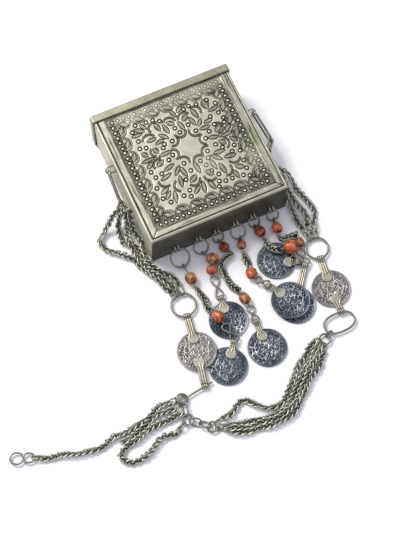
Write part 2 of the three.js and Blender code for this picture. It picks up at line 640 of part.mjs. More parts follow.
function makeBackOfNeck() {
  RIGHT_STRANDS.forEach(({ route, tilt, degrees }, i) => {
    const eyes = { bail: onBail('side_bail_right', tilt), end: onRing('neck_ring_right', degrees) };
    makeStrand(`neck_chain_right_${i + 1}`, route, eyes);
  });
  const bundle = sweep(LOWER_RUN, section(BUNDLE.halfHeight, BUNDLE.halfWidth, BUNDLE.sides), BUNDLE.steps);
  const bundleParts = [bundle];
  for (const { ring, degrees, near, far, side } of BUNDLE_EYES) {
    const run = new THREE.Vector3().subVectors(far, near);
    const across = new THREE.Vector3().crossVectors(UP, run).normalize();
    bundleParts.push(eye(onRing(ring, degrees), near.clone().addScaledVector(across, side)));
  }
  add('neck_chain_lower_bundle', solder(...bundleParts), DARK_SILVER);
  const looseEyes = { start: onRing('ring_lower_right', 168), end: onRing('ring_lower_left', 25) };
  makeStrand('neck_chain_lower_loose', LOOSE_RUN, looseEyes);

  for (const { name, route, degrees, end } of SPARE_STRANDS) {
    const turn = THREE.MathUtils.degToRad(degrees);
    const start = PIN.loop.clone().add(at(PIN.radius * Math.cos(turn), PIN.radius * Math.sin(turn), 0));
    makeStrand(name, route, { start, end });
  }
  const shankEnd = PIN.loop.clone().add(at(PIN.radius, 0, 0));
  const pinLoop = lay(link(PIN.radius, RING_WIRE), PIN.loop, at(1, 0, 0), UP);
  add('pin_hook', solder(pinLoop, rod(shankEnd, PIN.tip, RING_WIRE)), SILVER);
  const bends = END_HOOK_HALF.map((half, i) =>
    linkBetween(END_HOOK[i], END_HOOK[i + 1], half, RING_WIRE, UP));
  add('end_hook', solder(...bends), SILVER);
}

makeCase();
makeFrontPlate();
makeLid();
makeBails();
DROPS.forEach((drop, i) => makeDrop(drop, i + 1));
makeNeckRings();
makeLeftStrands();
makeBackOfNeck();

export default part;
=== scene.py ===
import bmesh
import bpy
import numpy as np
from mathutils import Matrix


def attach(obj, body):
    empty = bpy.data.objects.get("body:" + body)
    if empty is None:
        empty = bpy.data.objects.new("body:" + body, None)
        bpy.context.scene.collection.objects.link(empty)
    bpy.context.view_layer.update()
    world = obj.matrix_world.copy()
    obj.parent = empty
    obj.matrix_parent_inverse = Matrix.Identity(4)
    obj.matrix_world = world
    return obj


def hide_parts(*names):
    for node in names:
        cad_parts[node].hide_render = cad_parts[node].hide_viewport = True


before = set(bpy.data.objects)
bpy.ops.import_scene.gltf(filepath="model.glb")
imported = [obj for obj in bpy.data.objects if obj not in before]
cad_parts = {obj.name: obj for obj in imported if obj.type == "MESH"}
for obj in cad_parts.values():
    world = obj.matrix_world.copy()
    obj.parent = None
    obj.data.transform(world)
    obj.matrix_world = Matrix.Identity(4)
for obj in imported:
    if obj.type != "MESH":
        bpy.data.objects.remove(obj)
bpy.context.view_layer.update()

# Case walls
# A hollow box of silver sheet, bent, soldered and worn round at its edges, with a step at the back for
# the cap. Wire staples along its bottom edge carry the drops, and an eyelet at each side carries a bail.
MM = 0.001
UP = np.array([0.0, 0.0, 1.0])
CASE_HALF, CASE_TOP = 40.0, 26.0
CASE_END, CASE_MOUTH = -41.0, 39.9
SHEET, FRONT_WALL = 1.0, 1.8
EDGE_R = 0.9
SEAT_X = (38.85, -38.45)
SEAT_Y, SEAT_Z = -39.5, 25.2
STEP_Y, STEP_Z = 35.9, 1.1
STAPLE = {"z": 6.6, "reach": 2.2, "half": 2.2, "wire": 0.5, "apart": 1.9}
DROP_X = (-26.0, -13.0, -2.3, 9.0, 19.3, 30.4)
EYELET = {"reach": 4.6, "half": 1.7, "wire": 0.5}
BAILS = {
    "left": {"side": -1, "hinge": np.array([-43.2, 9.9, 20.0]), "end": np.array([-43.4, -7.1, 12.2])},
    "right": {"side": 1, "hinge": np.array([43.2, 10.3, 20.0]), "end": np.array([46.4, -7.2, 13.8])},
}
WELD = 1e-6
DENT = 0.13
CORNER_STEPS, END_STEPS = 7, 6
FLAT_SHARE = np.array([0.01, 0.25, 0.5, 0.75, 0.99])
# The inside faces of the case and the cap are painted darker, a painted shade in the hollow.
STAPLE_MARK, INSIDE_SHADE = 0.16, 0.4


def unit(vectors):
    """Vectors divided by their length."""
    return vectors / np.linalg.norm(vectors, axis=-1, keepdims=True)


def bell(away, width):
    """A bell curve: one where away is nought, less with the square of away over the width."""
    return np.exp(-(away / width) ** 2)


def around(count):
    """Angles spread evenly round a full turn."""
    return np.arange(count) * 2 * np.pi / count


def surface(grid, wrap_u=False, wrap_v=False):
    """Points and quads of one or more grids of points: each quad joins neighbours along both parameters,
    and a parameter that wraps is closed round."""
    count_u, count_v = grid.shape[-3:-1]
    index = np.arange(count_u * count_v).reshape(count_u, count_v)
    index = np.vstack([index, index[:1]]) if wrap_u else index
    index = np.hstack([index, index[:, :1]]) if wrap_v else index
    quads = np.stack([index[:-1, :-1], index[1:, :-1], index[1:, 1:], index[:-1, 1:]], axis=-1).reshape(-1, 4)
    copies = grid.size // (count_u * count_v * 3)
    starts = np.arange(copies)[:, None, None] * count_u * count_v
    return grid.reshape(-1, 3), (quads + starts).reshape(-1, 4)


def joined(shapes):
    """Several surfaces as one, each later one's point numbers moved on past those before it."""
    starts = np.cumsum([0] + [len(points) for points, _ in shapes])
    faces = [quads + start for (_, quads), start in zip(shapes, starts)]
    return np.concatenate([points for points, _ in shapes]), np.concatenate(faces)


def put(name, data):
    """An object at the origin that shows a mesh, lamp or camera."""
    thing = bpy.data.objects.new(name, data)
    bpy.context.collection.objects.link(thing)
    return thing


def make_piece(name, shape, marks, material, slot, nodes=(), body="case"):
    """A piece from points in millimetres and quads. Points that meet are welded and faces turned outwards.
    Marks, one number for every point or one for all, tell the material how dark it is."""
    points, faces = shape
    mesh = bpy.data.meshes.new(name)
    mesh.vertices.add(len(points))
    mesh.vertices.foreach_set("co", (points * MM).astype(np.float32).ravel())
    mesh.loops.add(faces.size)
    mesh.loops.foreach_set("vertex_index", faces.astype(np.int32).ravel())
    mesh.polygons.add(len(faces))
    mesh.polygons.foreach_set("loop_start", np.arange(0, faces.size, 4, dtype=np.int32))
    layer = mesh.attributes.new("marks", "FLOAT", "POINT")
    layer.data.foreach_set("value", np.full(len(points), np.ravel(marks), np.float32))
    mesh.update(calc_edges=True)
    skin = bmesh.new()
    skin.from_mesh(mesh)
    bmesh.ops.remove_doubles(skin, verts=skin.verts, dist=WELD)
    bmesh.ops.recalc_face_normals(skin, faces=skin.faces)
    skin.to_mesh(mesh)
    skin.free()
    mesh.shade_smooth()
    mesh.materials.append(material)
    piece = put(name, mesh)
    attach(piece, body)
    if nodes:
        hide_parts(*nodes)


def linear(code):
    """An sRGB hex colour as linear red, green, blue and full alpha."""
    value = np.array([int(code[i:i + 2], 16) for i in (1, 3, 5)]) / 255
    return (*np.where(value <= 0.04045, value / 12.92, ((value + 0.055) / 1.055) ** 2.4), 1.0)


def feed(tree, node, inputs):
    """Sets a node's sockets; a pair of a node and an output's name is a link."""
    for key, value in inputs.items():
        if isinstance(value, tuple) and isinstance(value[0], bpy.types.Node):
            tree.links.new(value[0].outputs[value[1]], node.inputs[key])
        else:
            node.inputs[key].default_value = value


def add_node(tree, kind, inputs, stops=(), **settings):
    """Adds a node: settings go to its properties, stops to its colour ramp, and inputs to its sockets."""
    node = tree.nodes.new(kind)
    for key, value in settings.items():
        setattr(node, key, value)
    for i, (place, code) in enumerate(stops):
        element = node.color_ramp.elements[i] if i < 2 else node.color_ramp.elements.new(place)
        element.position = place
        element.color = linear(code)
    feed(tree, node, inputs)
    return node


def new_material(name):
    """A material with its nodes' tree, its shader and the object's own coordinates."""
    material = bpy.data.materials.new(name)
    material.use_nodes = True
    tree = material.node_tree
    return material, tree, tree.nodes["Principled BSDF"], add_node(tree, "ShaderNodeTexCoord", {})


def worn_metal(name, stops, roughness, stain_mm, grain_mm, grain_depth, stain_share):
    """Old silver: the colour goes from rubbed metal to tarnish and painted shade along the stops, by the
    piece's own marks and by stains of a size in millimetres, and a fine grain dulls the gloss and roughens
    the surface."""
    material, tree, shader, place = new_material(name)
    marks = add_node(tree, "ShaderNodeAttribute", {}, attribute_name="marks")
    stain = add_node(tree, "ShaderNodeTexNoise", {
        "Vector": (place, "Object"), "Scale": 1 / (stain_mm * MM), "Detail": 8.0, "Roughness": 0.7})
    grain = add_node(tree, "ShaderNodeTexNoise", {
        "Vector": (place, "Object"), "Scale": 1 / (grain_mm * MM), "Detail": 2.0})
    share = add_node(tree, "ShaderNodeMath", {
        0: (stain, "Fac"), 1: stain_share, 2: (marks, "Fac")}, operation="MULTIPLY_ADD")
    ramp = add_node(tree, "ShaderNodeValToRGB", {"Fac": (share, "Value")}, stops)
    gloss = add_node(tree, "ShaderNodeMapRange", {
        "Value": (grain, "Fac"), "From Min": 0.3, "From Max": 0.7,
        "To Min": roughness - 0.1, "To Max": roughness + 0.12})
    bump = add_node(tree, "ShaderNodeBump", {
        "Height": (grain, "Fac"), "Strength": 0.5, "Distance": grain_depth * MM})
    feed(tree, shader, {
        "Metallic": 0.9, "Base Color": (ramp, "Color"), "Roughness": (gloss, "Result"),
        "Normal": (bump, "Normal")})
    return material


# Sheet silver, hammered and planished by hand: a soft warm grey with yellow-brown stains.
sheet_silver = worn_metal("hammered_sheet_silver", [
    (0.12, "#C8C8BA"), (0.4, "#A3A190"), (0.65, "#726F62"), (1.0, "#393833")],
    roughness=0.5, stain_mm=9.0, grain_mm=0.8, grain_depth=0.12, stain_share=0.6)


def box_rows(rows, top):
    """Rounded rectangles in X and Z along Y, one for each row of y, half width, low, high and corner radius:
    four quarter circles joined by flats that have points at the same share of their length in every row,
    along the top those given."""
    y, half, low, high, radius = np.asarray(rows, float).T[..., None]
    turn = np.radians(np.linspace(0, 90, CORNER_STEPS))
    share = FLAT_SHARE
    flat = half - radius
    x = [flat + radius * np.cos(turn - np.pi / 2), half + 0 * share, flat + radius * np.cos(turn),
         flat * (1 - 2 * top), -flat - radius * np.sin(turn), -half + 0 * share,
         -flat - radius * np.cos(turn), flat * (2 * share - 1)]
    rise = high - low - 2 * radius
    z = [low + radius - radius * np.cos(turn), low + radius + rise * share,
         high - radius + radius * np.sin(turn), high + 0 * top,
         high - radius + radius * np.cos(turn), high - radius - rise * share,
         low + radius - radius * np.sin(turn), low + 0 * share]
    x, z = np.concatenate(x, axis=1), np.concatenate(z, axis=1)
    return np.stack([x, np.broadcast_to(y, x.shape), z], axis=-1)


def round_end(y, inward, half, low, high, radius):
    """Rows that round the edge of a box's end at y, from its flat to its full width; inward is the way to
    the middle of the box."""
    turn = np.radians(np.linspace(0, 90, END_STEPS))
    inset = radius * (1 - np.sin(turn))
    run = y + inward * radius * (1 - np.cos(turn))
    return np.stack([run, half - inset, low + inset, high - inset, np.maximum(radius - inset, 0.03)], axis=-1)


middle_z = CASE_TOP / 2
inner_half, ceiling = CASE_HALF - SHEET, CASE_TOP - FRONT_WALL
wall_y = np.linspace(-30, 30, 9)
outer_rows = np.concatenate([
    [(CASE_END, 0, middle_z, middle_z, 0), (CASE_END, 20, 7, 19, 0.3), (CASE_END, 38.6, 1.4, 24.6, 0.3)],
    round_end(CASE_END, 1, CASE_HALF, 0, CASE_TOP, EDGE_R),
    [(SEAT_Y, CASE_HALF, 0, CASE_TOP, EDGE_R), (SEAT_Y + 0.03, CASE_HALF, 0, CASE_TOP, EDGE_R)],
    [(y, CASE_HALF, 0, CASE_TOP, EDGE_R) for y in wall_y],
    [(STEP_Y - 0.05, CASE_HALF, 0, CASE_TOP, EDGE_R), (STEP_Y, CASE_HALF, STEP_Z, CASE_TOP, EDGE_R)],
    [(CASE_MOUTH, CASE_HALF, STEP_Z, CASE_TOP, EDGE_R)]])
inner_rows = [
    (CASE_MOUTH, inner_half, STEP_Z + SHEET, ceiling, 0.4),
    (STEP_Y - SHEET, inner_half, STEP_Z + SHEET, ceiling, 0.4),
    (STEP_Y - SHEET - 0.1, inner_half, SHEET, ceiling, 0.4),
    (CASE_END + SHEET, inner_half, SHEET, ceiling, 0.4), (CASE_END + SHEET, 0, middle_z, middle_z, 0)]
top_flat = CASE_HALF - EDGE_R
top_x = np.array([SEAT_X[0], SEAT_X[0] - 0.03, 25, 8, -8, -25, SEAT_X[1] + 0.03, SEAT_X[1]])
case_grid = box_rows(np.concatenate([outer_rows, inner_rows]), (top_flat - top_x) / (2 * top_flat))
# The seat of the plate: the top's inner points, from the row past its lower edge to the mouth.
seat_row = len(outer_rows) - len(wall_y) - 4
seat_column = 2 * CORNER_STEPS + len(FLAT_SHARE) + 1
case_grid[seat_row:len(outer_rows), seat_column:seat_column + len(top_x) - 2, 2] = SEAT_Z
case_x, case_y, case_z = (case_grid[..., i] for i in range(3))
dent = DENT * np.sin(case_y / 9 + 0.4) * np.sin(case_z / 5 + 0.6)
case_x += np.where(np.abs(case_x) > CASE_HALF - 0.5, np.sign(case_x) * dent, 0)
# The end and the walls about the eyelets are painted darker, as painted shade with some tarnish, and the side
# walls
# # elsewhere are painted a little lighter, as a painted reflection; the rounded top edge is left light.
below_lip = np.clip((CASE_TOP - 0.5 - case_z) / 1.2, 0, 1)
end_shade = np.clip((CASE_END + 0.6 - case_y) / 0.5, 0, 1) * 0.5
side_light_and_shade = np.clip((np.abs(case_x) - CASE_HALF + 0.6) / 0.5, 0, 1)
side_light_and_shade = side_light_and_shade * (0.34 * bell(case_y - 4, 14) - 0.14)
case_marks = below_lip * (0.03 + np.where(end_shade > 0, end_shade, side_light_and_shade))
case_marks[len(outer_rows):] = INSIDE_SHADE


def wire(route, radius, plane, sides=8, closed=False):
    """A round wire: a circle carried along the route, square to its run, with the plane's normal as the
    second axis. An open wire's ends are rounded off."""
    route = np.asarray(route, float)
    ahead = np.roll(route, -1, axis=0) - np.roll(route, 1, axis=0) if closed else np.gradient(route, axis=0)
    run = unit(ahead)
    size = np.full(len(route), radius)
    if not closed:
        cap = radius * np.array([0.9, 0.55])[:, None]
        route = np.vstack([route[0] - cap * run[0], route, route[-1] + cap[::-1] * run[-1]])
        run = np.vstack([run[:1], run[:1], run, run[-1:], run[-1:]])
        size = np.concatenate([[0, 0.8 * radius], size, [0.8 * radius, 0]])
    across = unit(np.cross(run, plane))
    rise = np.cross(across, run)
    turn = around(sides)
    ring = across[:, None] * np.cos(turn)[:, None] + rise[:, None] * np.sin(turn)[:, None]
    return surface(route[:, None] + size[:, None, None] * ring, wrap_u=closed, wrap_v=True)


def half_loop(foot, out, across, reach, half):
    """Route of a loop standing out of a wall: two legs and a half circle between them."""
    turn = np.radians(np.linspace(90, -90, 13))
    arc = foot + np.outer(reach - half + half * np.cos(turn), out) + np.outer(half * np.sin(turn), across)
    leg = SHEET / 2
    return np.vstack([foot - leg * out + half * across, arc, foot - leg * out - half * across])


case_wires = []
for drop_x in DROP_X:
    for side in (-1, 1):
        foot = np.array([drop_x + side * STAPLE["apart"] / 2, CASE_END, STAPLE["z"]])
        loop = half_loop(foot, np.array([0.0, -1, 0]), UP, STAPLE["reach"], STAPLE["half"])
        case_wires.append(wire(loop, STAPLE["wire"], (1.0, 0, 0)))
for bail in BAILS.values():
    lean = unit((bail["hinge"] - bail["end"]) * (0, 1, 1))
    foot = np.array([bail["side"] * CASE_HALF, bail["hinge"][1], bail["hinge"][2]])
    loop = half_loop(foot, np.array([float(bail["side"]), 0, 0]), lean, EYELET["reach"], EYELET["half"])
    case_wires.append(wire(loop, EYELET["wire"], np.cross((1.0, 0, 0), lean)))
case_shape = joined([surface(case_grid, wrap_v=True), *case_wires])
staple_marks = np.full(len(case_shape[0]) - case_marks.size, STAPLE_MARK)
case_marks = np.concatenate([case_marks.ravel(), staple_marks])
make_piece("case_walls", case_shape, case_marks, sheet_silver, "sheet_silver", ["case_body"])

# Chased front plate
# A thin silver plate let into the front and soldered round its edge. Its field is chased with punches: a
# plain star in the middle, pointed leaves, double crescents, ring dots and a border of dots and scallops.
PLATE = {"left": -37.95, "right": 38.35, "bottom": -39.0, "top": 38.2, "under": 25.3}
FIELD = {"left": -33.9, "right": 34.4, "bottom": -35.3, "top": 35.0}
BAND = 4.0
STRIP_RISE = 0.22
PLATE_POINTS = 305
# Ring dots: x, y.
RING_DOTS = [
    (-19.9, 26.2), (-13.8, 25.6), (-10.0, 25.3), (-6.8, 23.3), (-23.0, 22.8), (-22.1, 16.6), (-23.2, 12.2),
    (-19.9, 11.3), (-0.9, 15.9), (0.5, 12.5), (-5.3, 9.4), (-9.9, 9.4), (-11.4, 7.6), (-8.5, 1.6),
    (-11.6, -0.3), (-23.2, -3.1), (-22.2, -7.0), (-18.4, -6.2), (-5.0, -5.4), (-3.4, -10.8), (-24.2, -13.1),
    (-8.0, -14.7), (-23.7, -19.9), (-20.6, -23.5), (-12.8, -22.9), (-8.6, -21.2), (-9.4, -24.8),
    (8.2, 24.6), (11.4, 25.3), (15.6, 24.6), (21.8, 24.6), (25.6, 21.1), (6.5, 14.9), (19.6, 14.6),
    (24.7, 15.1), (25.8, 11.1), (8.9, 9.9), (19.6, 9.4), (15.3, 6.6), (11.9, 3.5), (25.1, 8.4),
    (15.3, -2.0), (17.9, -5.1), (9.6, -3.9), (24.2, -6.4), (21.6, -9.4), (25.8, -10.7), (3.7, -7.7),
    (8.3, -7.7), (5.5, -11.2), (6.8, -15.4), (9.4, -18.9), (8.0, -22.8), (11.2, -23.9), (15.0, -24.0),
    (6.6, -25.6), (21.2, -24.8), (24.2, -26.4), (24.6, -21.6), (25.1, -16.8)]
# Leaves: x, y, angle in degrees, length, width.
LEAVES = [
    (-19.3, 22.4, -32, 6.0, 2.5), (-21.6, 20.2, 0, 6.0, 2.0), (-16.4, 23.7, -55, 4.5, 2.2),
    (-9.4, 20.5, -75, 5.4, 2.5), (-5.5, 17.5, -78, 6.2, 2.3), (-2.0, 19.6, -35, 4.6, 2.6),
    (2.9, 15.8, -77, 6.4, 2.2), (1.6, 24.9, -70, 6.0, 2.2), (5.7, 25.6, 32, 4.5, 2.2),
    (6.5, 19.6, 40, 4.6, 2.7), (9.5, 16.0, -74, 6.2, 2.2), (12.6, 19.9, -76, 7.0, 2.4),
    (20.1, 22.8, -85, 6.5, 4.0), (23.0, 18.4, 10, 6.0, 2.1), (17.5, 12.7, 8, 5.3, 2.3),
    (12.8, 13.7, 50, 4.6, 2.1), (14.2, 9.7, 0, 6.2, 2.3), (20.4, 6.4, 40, 5.2, 2.9),
    (25.7, 4.9, 38, 5.2, 2.5), (16.0, 2.5, -12, 6.0, 2.3), (23.1, 1.4, 5, 7.5, 2.1),
    (19.2, -2.2, -48, 4.6, 2.7), (25.4, -2.8, -55, 5.0, 2.3), (15.1, -6.7, -4, 6.4, 2.4),
    (12.5, -9.2, -45, 7.0, 2.1), (19.5, -11.3, -6, 6.6, 2.6), (9.2, -12.2, -80, 6.8, 2.2),
    (12.8, -16.6, -77, 7.0, 2.5), (5.4, -16.0, -50, 5.0, 3.0), (0.4, -10.4, -83, 7.6, 2.3),
    (-7.2, -9.8, -77, 7.0, 2.2), (-9.9, -7.8, 47, 6.5, 2.1), (-13.4, -4.4, 17, 7.0, 2.1),
    (-17.0, -8.9, 15, 6.8, 2.1), (-16.7, -0.2, 30, 5.2, 2.7), (-22.1, 0.8, 32, 5.0, 2.3),
    (-21.9, 4.0, 3, 7.6, 2.1), (-11.7, 4.0, 5, 8.0, 2.0), (-22.2, 7.8, -45, 4.2, 2.5),
    (-15.8, 7.5, -60, 4.0, 2.7), (-15.2, 14.5, 5, 5.6, 2.1), (-8.4, 13.8, -43, 6.0, 2.1),
    (-11.6, 11.8, 8, 5.5, 2.0), (-10.8, -14.5, 80, 6.8, 2.3), (-20.8, -16.1, 25, 5.5, 2.3),
    (-20.2, -19.2, 43, 5.4, 2.1), (-17.2, -21.6, 77, 7.0, 2.3), (-4.0, -15.7, 32, 5.4, 2.9),
    (-4.9, -22.5, 38, 5.4, 2.3), (-1.0, -22.5, 82, 6.8, 2.3), (3.4, -23.0, -73, 6.6, 2.5),
    (18.0, -22.5, -77, 6.0, 2.1), (21.6, -19.3, -28, 5.2, 2.7)]
# Crescents: x, y, radius, the way their back faces and half their spread, in degrees. The first eight
# stand back to back round the plain star.
CRESCENTS = [
    (0.6, 12.5, 3.5, 270, 95), (8.5, 10.2, 3.7, 225, 85), (11.9, 3.4, 3.8, 180, 80),
    (9.6, -3.9, 3.6, 130, 75), (3.4, -7.2, 3.5, 95, 80), (-4.9, -4.8, 3.7, 45, 78),
    (-8.4, 1.6, 3.7, 0, 85), (-5.2, 9.4, 3.6, 310, 78),
    (-10.8, 20.5, 3.8, 130, 85), (-2.5, 19.9, 3.8, 75, 80), (6.3, 19.6, 3.8, 100, 80),
    (13.1, 20.5, 3.8, 40, 80), (20.1, 6.6, 3.7, -10, 100), (19.2, -3.1, 3.8, -5, 75),
    (21.0, -12.8, 3.9, -90, 75),
    (13.9, -18.1, 3.9, -40, 75), (5.1, -17.5, 3.8, -120, 80), (-4.3, -16.6, 3.8, -75, 80),
    (-11.9, -16.6, 3.9, 180, 75), (-18.4, -10.7, 4.0, -130, 70), (-17.2, -0.7, 3.8, 130, 80),
    (-15.8, 7.2, 3.4, 190, 70), (-16.4, 14.6, 4.1, 95, 80)]
DOT_R, DOT_W, DOT_BOSS = 1.0, 0.36, 0.52
LEAF_SCALE, LEAF_LINE, LEAF_RIB, VEIN_PITCH = 1.06, 0.24, 0.22, 0.85
LINE_W = 0.25
CRESCENT_GAP = 0.85
SCALLOP = {"radius": 4.5, "count": 7, "inset": 4.6, "spread": 88, "beads": 28,
           "leaf": 5.6, "leaf_width": 3.0, "leaf_in": 1.8, "lean": 62}
BORDER_DOTS, DOT_STRAY, HATCH_PITCH = 19, 0.2, 0.9
# Patches rubbed nearly smooth: x, y, both half widths and how far.
RUBBED = [(32, -17, 5, 8, 0.6), (7, -10, 7, 7, 0.5)]
CHASE_DEPTH, MITRE_DEPTH, BOSS_RISE = 0.14, 0.2, 0.1
MITRE_X = 0.2

plate_x = np.linspace(PLATE["left"], PLATE["right"], PLATE_POINTS)
plate_y = np.linspace(PLATE["bottom"], PLATE["top"], PLATE_POINTS)
X, Y = np.meshgrid(plate_x, plate_y)
dark = np.zeros_like(X)
boss = np.zeros_like(X)


def ring_dot(x, y, size=1.0):
    """A punched ring: a round groove about a small boss."""
    away = np.hypot(X - x, Y - y) / size
    np.maximum(dark, bell(away - DOT_R, DOT_W), out=dark)
    np.maximum(boss, bell(away, DOT_BOSS), out=boss)


def leaf(x, y, angle, length, width):
    """A pointed oval whose half width falls with the square of the way from its middle, with a chased
    outline, a raised midrib and slanting veins at an even pitch."""
    turn = np.radians(angle)
    u = (X - x) * np.cos(turn) + (Y - y) * np.sin(turn)
    v = (Y - y) * np.cos(turn) - (X - x) * np.sin(turn)
    inside = width / 2 * (1 - (2 * u / length) ** 2) - np.abs(v)
    outline = bell(inside, LEAF_LINE) * (np.abs(u) < length / 2 + 0.2)
    veins = 0.5 + 0.5 * np.sin(2 * np.pi * (u + 0.8 * np.abs(v)) / VEIN_PITCH)
    field = (inside > 0) * (0.1 + 0.42 * veins) * (1 - 0.75 * bell(v, LEAF_RIB))
    np.maximum(dark, np.maximum(outline, field), out=dark)


def crescent(x, y, radius, facing, spread, beads=0):
    """Two arcs of one centre, cut as lines or, with beads, as rows of dots, over an angle either side of the
    way that the back faces."""
    away = np.hypot(X - x, Y - y)
    turn = np.angle(np.exp(1j * (np.arctan2(Y - y, X - x) - np.radians(facing))))
    reach = np.clip((np.radians(spread) - np.abs(turn)) / 0.12, 0, 1)
    lines = np.maximum(bell(away - radius, LINE_W), bell(away - radius + CRESCENT_GAP, LINE_W))
    ticks = 0.2 * (np.abs(away - radius + CRESCENT_GAP / 2) < CRESCENT_GAP / 2)
    dots = 0.65 + 0.35 * np.cos(beads * turn) if beads else 1.0
    np.maximum(dark, np.maximum(lines * dots, ticks) * reach, out=dark)


for dot in RING_DOTS:
    ring_dot(*dot)
for x, y, angle, length, width in LEAVES:
    leaf(x, y, angle, LEAF_SCALE * length, LEAF_SCALE * width)
for row in CRESCENTS:
    crescent(*row)

inner = {"left": FIELD["left"] + BAND, "right": FIELD["right"] - BAND,
         "bottom": FIELD["bottom"] + BAND, "top": FIELD["top"] - BAND}
from_edge = np.minimum.reduce([X - FIELD["left"], FIELD["right"] - X, Y - FIELD["bottom"], FIELD["top"] - Y])
in_field = from_edge > 0
in_band = in_field & (from_edge < BAND)
hatch = [np.sin(2 * np.pi * way / HATCH_PITCH) for way in (X + Y, X - Y)]
dark[in_band] = (0.28 + 0.2 * hatch[0] * hatch[1])[in_band]
along_x = np.linspace(inner["left"] - 1.0, inner["right"] + 1.0, BORDER_DOTS + 1)
along_y = np.linspace(inner["bottom"] + 1.5, inner["top"] - 1.5, BORDER_DOTS)
for y in along_y:
    ring_dot(FIELD["left"] + 2.3, y + DOT_STRAY * np.sin(3 * y), 1.1)
    ring_dot(FIELD["right"] - 2.0, y + DOT_STRAY * np.sin(2 * y), 1.1)
for x in along_x:
    ring_dot(x + DOT_STRAY * np.sin(3 * x), FIELD["bottom"] + 2.1)
    ring_dot(x + DOT_STRAY * np.sin(2 * x), FIELD["top"] - 2.1)
scallop_x, scallop_y = (
    np.linspace(inner[low] + SCALLOP["inset"], inner[high] - SCALLOP["inset"], SCALLOP["count"])
    for low, high in (("left", "right"), ("bottom", "top")))
scallops = [(inner["left"], y, 0) for y in scallop_y] + [(inner["right"], y, 180) for y in scallop_y]
scallops += [(x, inner["bottom"], 90) for x in scallop_x] + [(x, inner["top"], 270) for x in scallop_x]
for x, y, facing in scallops:
    turn = np.radians(facing)
    crescent(x, y, SCALLOP["radius"], facing, SCALLOP["spread"], SCALLOP["beads"])
    leaf(x + SCALLOP["leaf_in"] * np.cos(turn), y + SCALLOP["leaf_in"] * np.sin(turn),
         facing + SCALLOP["lean"], SCALLOP["leaf"], SCALLOP["leaf_width"])
for box in (FIELD, inner):
    for edge in (X - box["left"], X - box["right"], Y - box["bottom"], Y - box["top"]):
        np.maximum(dark, 0.8 * bell(edge, LINE_W) * (from_edge > -0.4), out=dark)

# Long wear has rubbed the top border, a patch at the right and one below the star nearly smooth.
rubbed = np.clip((Y - 27) / 5, 0, 1) * np.clip((X + 34) / 8, 0, 1) * 0.62
for x, y, half_x, half_y, share in RUBBED:
    rubbed = np.maximum(rubbed, share * bell(X - x, half_x) * bell(Y - y, half_y))
dark *= (1 - rubbed) * in_field
boss *= (1 - 0.6 * rubbed) * in_field
# The strips round the field stand up a little, are cut across at the lower corners and have dirt in streaks,
# # and the plate's outer edge has a painted shade along its seam with the rim.
ground = np.where(in_field, 0.0, STRIP_RISE)
field_half = (FIELD["right"] - FIELD["left"]) / 2
mitre = (np.abs(X - MITRE_X) - field_half + Y - FIELD["bottom"]) / np.sqrt(2)
cut = bell(mitre, LINE_W) * (Y < FIELD["bottom"])
hammer = 0.05 * np.sin(X / 2.1 + 1.3 * np.sin(Y / 3.3)) * np.sin(Y / 2.6 + 1.1 * np.sin(X / 2.9))
height = CASE_TOP - STRIP_RISE - 0.06 + ground + hammer
height = height - CHASE_DEPTH * dark - MITRE_DEPTH * cut + BOSS_RISE * boss
streak = np.sin(2.2 * from_edge + 1.6 * np.sin(0.11 * (X - Y)) + 0.7 * np.sin(0.37 * (X + Y)))
soil_and_seam_shade = 0.06 + 0.3 * np.clip(streak, 0, 1) * (0.6 + 0.4 * np.sin(0.23 * X + 0.19 * Y))
from_rim = np.minimum.reduce([X - PLATE["left"], PLATE["right"] - X, Y - PLATE["bottom"]])
# The plate's outer edge is painted dark as the shade in its seam with the rim.
soil_and_seam_shade = soil_and_seam_shade + 0.3 * bell(from_edge + 0.5, 0.45) + 0.5 * bell(from_rim, 0.3)
plate_marks = 0.95 * dark * (1 - 0.95 * boss) + 0.5 * cut + np.where(in_field, 0.02, soil_and_seam_shade) - 0.14 * boss
plate_grid = np.pad(np.stack([X, Y, height], axis=-1), ((1, 1), (1, 1), (0, 0)), mode="edge")
plate_grid[[0, -1], :, 2] = PLATE["under"]
plate_grid[:, [0, -1], 2] = PLATE["under"]
corners = [(PLATE[a], PLATE[b], PLATE["under"]) for a in ("left", "right") for b in ("bottom", "top")]
plate_shape = joined([surface(plate_grid), surface(np.array(corners).reshape(2, 2, 3))])
plate_marks = np.concatenate([np.pad(plate_marks, 1, mode="edge").ravel(), np.zeros(len(corners))])

# Chased silver: rubbed warm metal on what stands up, black tarnish left in every punch mark.
chased_silver = worn_metal("chased_silver", [
    (0.1, "#CACABC"), (0.38, "#A3A192"), (0.58, "#5D5C54"), (0.92, "#20201D")],
    roughness=0.4, stain_mm=7.0, grain_mm=0.6, grain_depth=0.05, stain_share=0.42)
# A little verdigris has grown where the plate meets the rim at the right.
VERDIGRIS = (37.2 * MM, -6.3 * MM, 26 * MM)
plate_tree = chased_silver.node_tree
plate_shader = plate_tree.nodes["Principled BSDF"]
plate_tone = plate_shader.inputs["Base Color"].links[0].from_node
plate_place = add_node(plate_tree, "ShaderNodeTexCoord", {})
plate_away = add_node(plate_tree, "ShaderNodeVectorMath", {0: (plate_place, "Object"), 1: VERDIGRIS},
                      operation="DISTANCE")
plate_growth = add_node(plate_tree, "ShaderNodeMapRange", {
    "Value": (plate_away, "Value"), "From Min": 1 * MM, "From Max": 7 * MM, "To Min": 0.6, "To Max": 0.0})
plate_green = add_node(plate_tree, "ShaderNodeMix", {
    0: (plate_growth, "Result"), 6: (plate_tone, "Color"), 7: linear("#6F7B52")}, data_type="RGBA")
feed(plate_tree, plate_shader, {"Base Color": (plate_green, 2)})
make_piece("chased_plate", plate_shape, plate_marks, chased_silver, "chased_silver", ["front_plate"])

